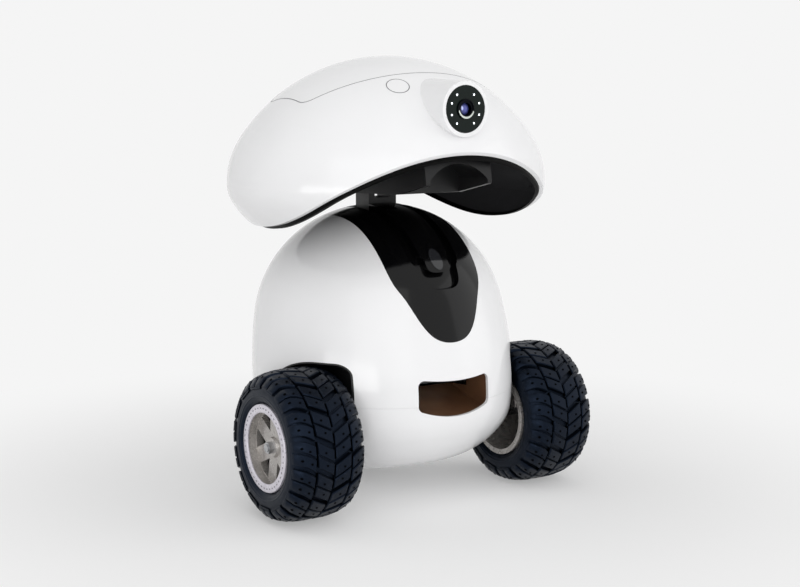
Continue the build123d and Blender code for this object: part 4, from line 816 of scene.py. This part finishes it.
LENS_RING_SECTION = ((-0.35, 7.5), (-0.7, 7.2), (-0.75, 6.9), (-0.5, 6.3), (0.4, 6.1), (0.6, 7.5))
DIE_SECTION = ((-0.12, 0.0), (-0.12, 0.4), (-0.05, 0.65), (0.1, 0.7), (0.1, 0.0))
# The bevel below the glass lies between the ring and a smaller circle that is set a little
# higher, so that it shows as a pale crescent of painted highlight: radius, lift and depth of its
# four corners, and the arc that it covers in degrees.
BEVEL_CORNERS = ((7.05, 0.0, -0.78), (6.35, 0.75, -0.72), (6.35, 0.75, -0.45), (7.05, 0.0, -0.45))
BEVEL_START, BEVEL_SWEEP, BEVEL_STEPS = -168, 150, 48
# Radius of the lamps' circle, and the angles of the lamps on it in degrees.
LAMP_CIRCLE = 13.0
LAMP_ANGLES = (19, 54, 126, 161, 199, 234, 306, 341)


class PETCAM_OT_camera_face(bpy.types.Operator):
    """The lens's retaining ring and bevel, the bevel a pale crescent of painted highlight, and a lit die in
    each lamp
    """

    bl_idname = "petcam.camera_face"
    bl_label = "Camera face"

    def execute(self, context):
        centre = middle_of("lens_barrel")
        centre.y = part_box("lens_barrel")[0][1]
        ring = turned("lens_ring", LENS_RING_SECTION, 96, centre, "Y", smooth=50)
        keep("lens_retaining_ring", ring, "head", "bright_ring", finish("black_anodised_barrel"))

        points, faces = [], []
        for i in range(BEVEL_STEPS + 1):
            angle = math.radians(BEVEL_START + BEVEL_SWEEP * i / BEVEL_STEPS)
            x, z = math.cos(angle), math.sin(angle)
            for radius, lift, y in BEVEL_CORNERS:
                points.append(centre + Vector((x * radius, y, z * radius + lift)) * MM)
        for i in range(BEVEL_STEPS):
            for j in range(4):
                k = (j + 1) % 4
                faces.append((4 * i + j, 4 * i + k, 4 * i + 4 + k, 4 * i + 4 + j))
        last = 4 * BEVEL_STEPS
        faces += [(0, 1, 2, 3), (last, last + 1, last + 2, last + 3)]
        # The crescent is a painted highlight in pale metal.
        bevel = plain_mesh("lens_bevel", points, faces)
        keep("lens_bevel", bevel, "head", "bright_ring", finish("satin_nickel_bevel"))

        front = Vector((centre.x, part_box("ir_lamps")[0][1], centre.z))
        dies = []
        for angle in map(math.radians, LAMP_ANGLES):
            spot = front + Vector((math.cos(angle), 0, math.sin(angle))) * LAMP_CIRCLE * MM
            dies.append(turned("die", DIE_SECTION, 16, spot, "Y", smooth=60))
        keep("lamp_dies", joined("lamp_dies", *dies), "head", "lamp_clear", finish("lit_lamp_die"))
        return {"FINISHED"}


class PETCAM_OT_finishes(bpy.types.Operator):
    """Makes each finish and gives every CAD node the finish of its slot"""

    bl_idname = "petcam.finishes"
    bl_label = "Finishes"

    def execute(self, context):
        scene = context.scene
        shell_finishes(scene.petcam_shells)
        wheel_finishes(scene.petcam_wheels)
        electric_finishes(scene.petcam_camera_face)
        for name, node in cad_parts.items():
            for slot in node.material_slots:
                if slot.material.name not in SLOT_FINISH:
                    raise RuntimeError(f"{name} has the slot {slot.material.name}, which has no finish")
                slot.material = finish(SLOT_FINISH[slot.material.name])
        for name, own in NODE_FINISH.items():
            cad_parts[name].material_slots[0].material = finish(own)
        return {"FINISHED"}


# Studio, in metres

CAMERA_PLACE = Vector((-0.642, -1.00994, 0.3292))
CAMERA_TARGET = Vector((-0.0111, -0.0385, 0.1637))
# Dark flags in the sky's light: the way to each, the cosines at which it starts and is full,
# and the light that it leaves. The first stands behind the object, so that the edges of the
# white shells show on a white backdrop.
FLAGS = (
    ((CAMERA_TARGET - CAMERA_PLACE).normalized(), 0.05, 0.6, 0.0),
    (Vector((-0.9, -0.15, 0.25)).normalized(), 0.70, 0.75, 0.3),
)
# Soft lights: name, place, target, size, and share of the key light's power.
SOFT_LIGHTS = (
    ("key_softbox", (-1.2, -1.9, 1.1), (0, 0, 0.17), (2.4, 1.8), 1.0),
    ("fill_softbox", (1.9, -1.2, 0.8), (0, 0, 0.15), (1.6, 1.6), 0.4),
    ("low_softbox", (-1.25, -0.75, 0.16), (-0.04, 0, 0.2), (1.2, 0.28), 0.3),
)
FLOOR_RADIUS, FLOOR_SIDES = 6, 64
# The floor is partly even near the object, where it takes the shadow, and wholly further off.
FLOOR_FADE = {"From Min": 0.12, "From Max": 0.55, "To Min": 0.35}


def soft_light(name, place, target, size, power):
    """A rectangular soft light that looks at a target."""
    data = bpy.data.lights.new(name, "AREA")
    data.shape = "RECTANGLE"
    data.size, data.size_y = size
    data.energy = power
    light = bpy.data.objects.new(name, data)
    light.location = place
    light.rotation_euler = (Vector(target) - Vector(place)).to_track_quat("-Z", "Y").to_euler()
    bpy.context.scene.collection.objects.link(light)


def sees_backdrop(tree):
    """One for the rays that see the plain backdrop: camera, transmission and glossy rays."""
    path = add(tree, "ShaderNodeLightPath").outputs
    direct = maths(tree, "MAXIMUM", path["Is Camera Ray"], path["Is Transmission Ray"])
    return maths(tree, "MAXIMUM", direct, path["Is Glossy Ray"])


def mixed(tree, share, first, second):
    """Two shaders mixed by a share of the second."""
    links = {0: share, 1: first.outputs[0], 2: second.outputs[0]}
    return add(tree, "ShaderNodeMixShader", links=links).outputs[0]


def studio_sky(strength, backdrop):
    """A world that lights evenly round its dark flags, and shows the plain backdrop."""
    world = bpy.data.worlds.new("studio_sky")
    world.use_nodes = True
    tree = world.node_tree
    tree.nodes.clear()
    way = add(tree, "ShaderNodeTexCoord").outputs["Generated"]
    sky = strength
    for toward, starts, full, left in FLAGS:
        cosine = add(tree, "ShaderNodeVectorMath", {1: toward}, {0: way}, operation="DOT_PRODUCT")
        values = {"From Min": starts, "From Max": full, "To Min": 1.0, "To Max": left}
        links = {"Value": cosine.outputs["Value"]}
        share = add(tree, "ShaderNodeMapRange", values, links, interpolation_type="SMOOTHSTEP")
        sky = maths(tree, "MULTIPLY", share.outputs[0], sky)
    light = add(tree, "ShaderNodeBackground", {"Color": (1.0, 1.0, 1.0, 1.0)}, {"Strength": sky})
    shown = add(tree, "ShaderNodeBackground", {"Color": backdrop, "Strength": 1.0})
    surface = mixed(tree, sees_backdrop(tree), light, shown)
    add(tree, "ShaderNodeOutputWorld", links={"Surface": surface})
    return world


def floor_finish(backdrop):
    """Pale studio floor: matt near the object, where it takes the shadow, and even further off."""
    material = bpy.data.materials.new("matt_studio_floor")
    material.use_nodes = True
    tree = material.node_tree
    tree.nodes.clear()
    place = add(tree, "ShaderNodeTexCoord").outputs["Object"]
    reach = distance_from(tree, place, (0.0, 0.0, 0.0))
    far = add(tree, "ShaderNodeMapRange", FLOOR_FADE, {"Value": reach}, interpolation_type="SMOOTHSTEP")
    share = maths(tree, "MULTIPLY", far.outputs[0], sees_backdrop(tree))
    matt = add(tree, "ShaderNodeBsdfDiffuse", {"Color": backdrop})
    even = add(tree, "ShaderNodeEmission", {"Color": backdrop, "Strength": 1.0})
    add(tree, "ShaderNodeOutputMaterial", links={"Surface": mixed(tree, share, matt, even)})
    return material


class PETCAM_OT_studio(bpy.types.Operator):
    """Pale floor and sky, large soft lights, and the camera"""

    bl_idname = "petcam.studio"
    bl_label = "Studio"

    def execute(self, context):
        scene = context.scene
        studio = scene.petcam_studio
        backdrop = linear(studio.backdrop)
        scene.world = studio_sky(studio.sky, backdrop)

        points = []
        for i in range(FLOOR_SIDES):
            angle = 2 * math.pi * i / FLOOR_SIDES
            points.append((math.cos(angle) * FLOOR_RADIUS, math.sin(angle) * FLOOR_RADIUS, 0.0))
        mesh = bpy.data.meshes.new("studio_floor")
        mesh.from_pydata(points, [], [tuple(range(FLOOR_SIDES))])
        mesh.materials.append(floor_finish(backdrop))
        floor = bpy.data.objects.new("studio_floor", mesh)
        scene.collection.objects.link(floor)

        for name, place, target, size, share in SOFT_LIGHTS:
            soft_light(name, place, target, size, studio.key * share)

        camera_data = bpy.data.cameras.new("photo_camera")
        camera_data.lens = studio.lens
        camera_data.sensor_width = 36.0
        camera = bpy.data.objects.new("photo_camera", camera_data)
        camera.location = CAMERA_PLACE
        camera.rotation_euler = (CAMERA_TARGET - CAMERA_PLACE).to_track_quat("-Z", "Y").to_euler()
        scene.collection.objects.link(camera)
        scene.camera = camera
        scene.view_settings.view_transform = "Standard"
        return {"FINISHED"}


class PETCAM_PT_panel(bpy.types.Panel):
    """Steps and sizes of the pet camera."""

    bl_idname = "PETCAM_PT_panel"
    bl_label = "Pet Camera"
    bl_space_type = "VIEW_3D"
    bl_region_type = "UI"
    bl_category = "Pet Camera"

    def draw(self, context):
        layout = self.layout
        for step in STEPS:
            layout.operator(step.bl_idname)
        for group, _ in GROUPS:
            box = layout.box()
            values = getattr(context.scene, group)
            for name in values.bl_rna.properties.keys():
                if name not in ("rna_type", "name"):
                    box.prop(values, name)


GROUPS = (
    ("petcam_shells", PETCAM_PG_shells),
    ("petcam_wheels", PETCAM_PG_wheels),
    ("petcam_camera_face", PETCAM_PG_camera_face),
    ("petcam_studio", PETCAM_PG_studio),
)
STEPS = (
    PETCAM_OT_finishes,
    PETCAM_OT_seams,
    PETCAM_OT_tyres,
    PETCAM_OT_rims,
    PETCAM_OT_camera_face,
    PETCAM_OT_studio,
)
CLASSES = tuple(group for _, group in GROUPS) + STEPS + (PETCAM_PT_panel,)


def register():
    for item in CLASSES:
        bpy.utils.register_class(item)
    for name, group in GROUPS:
        setattr(bpy.types.Scene, name, bpy.props.PointerProperty(type=group))


def unregister():
    for name, _ in GROUPS:
        delattr(bpy.types.Scene, name)
    for item in reversed(CLASSES):
        bpy.utils.unregister_class(item)


def main():
    """Register the add-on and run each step."""
    register()
    bpy.ops.petcam.finishes()
    bpy.ops.petcam.seams()
    bpy.ops.petcam.tyres()
    bpy.ops.petcam.rims()
    bpy.ops.petcam.camera_face()
    bpy.ops.petcam.studio()


if __name__ == "__main__":
    main()
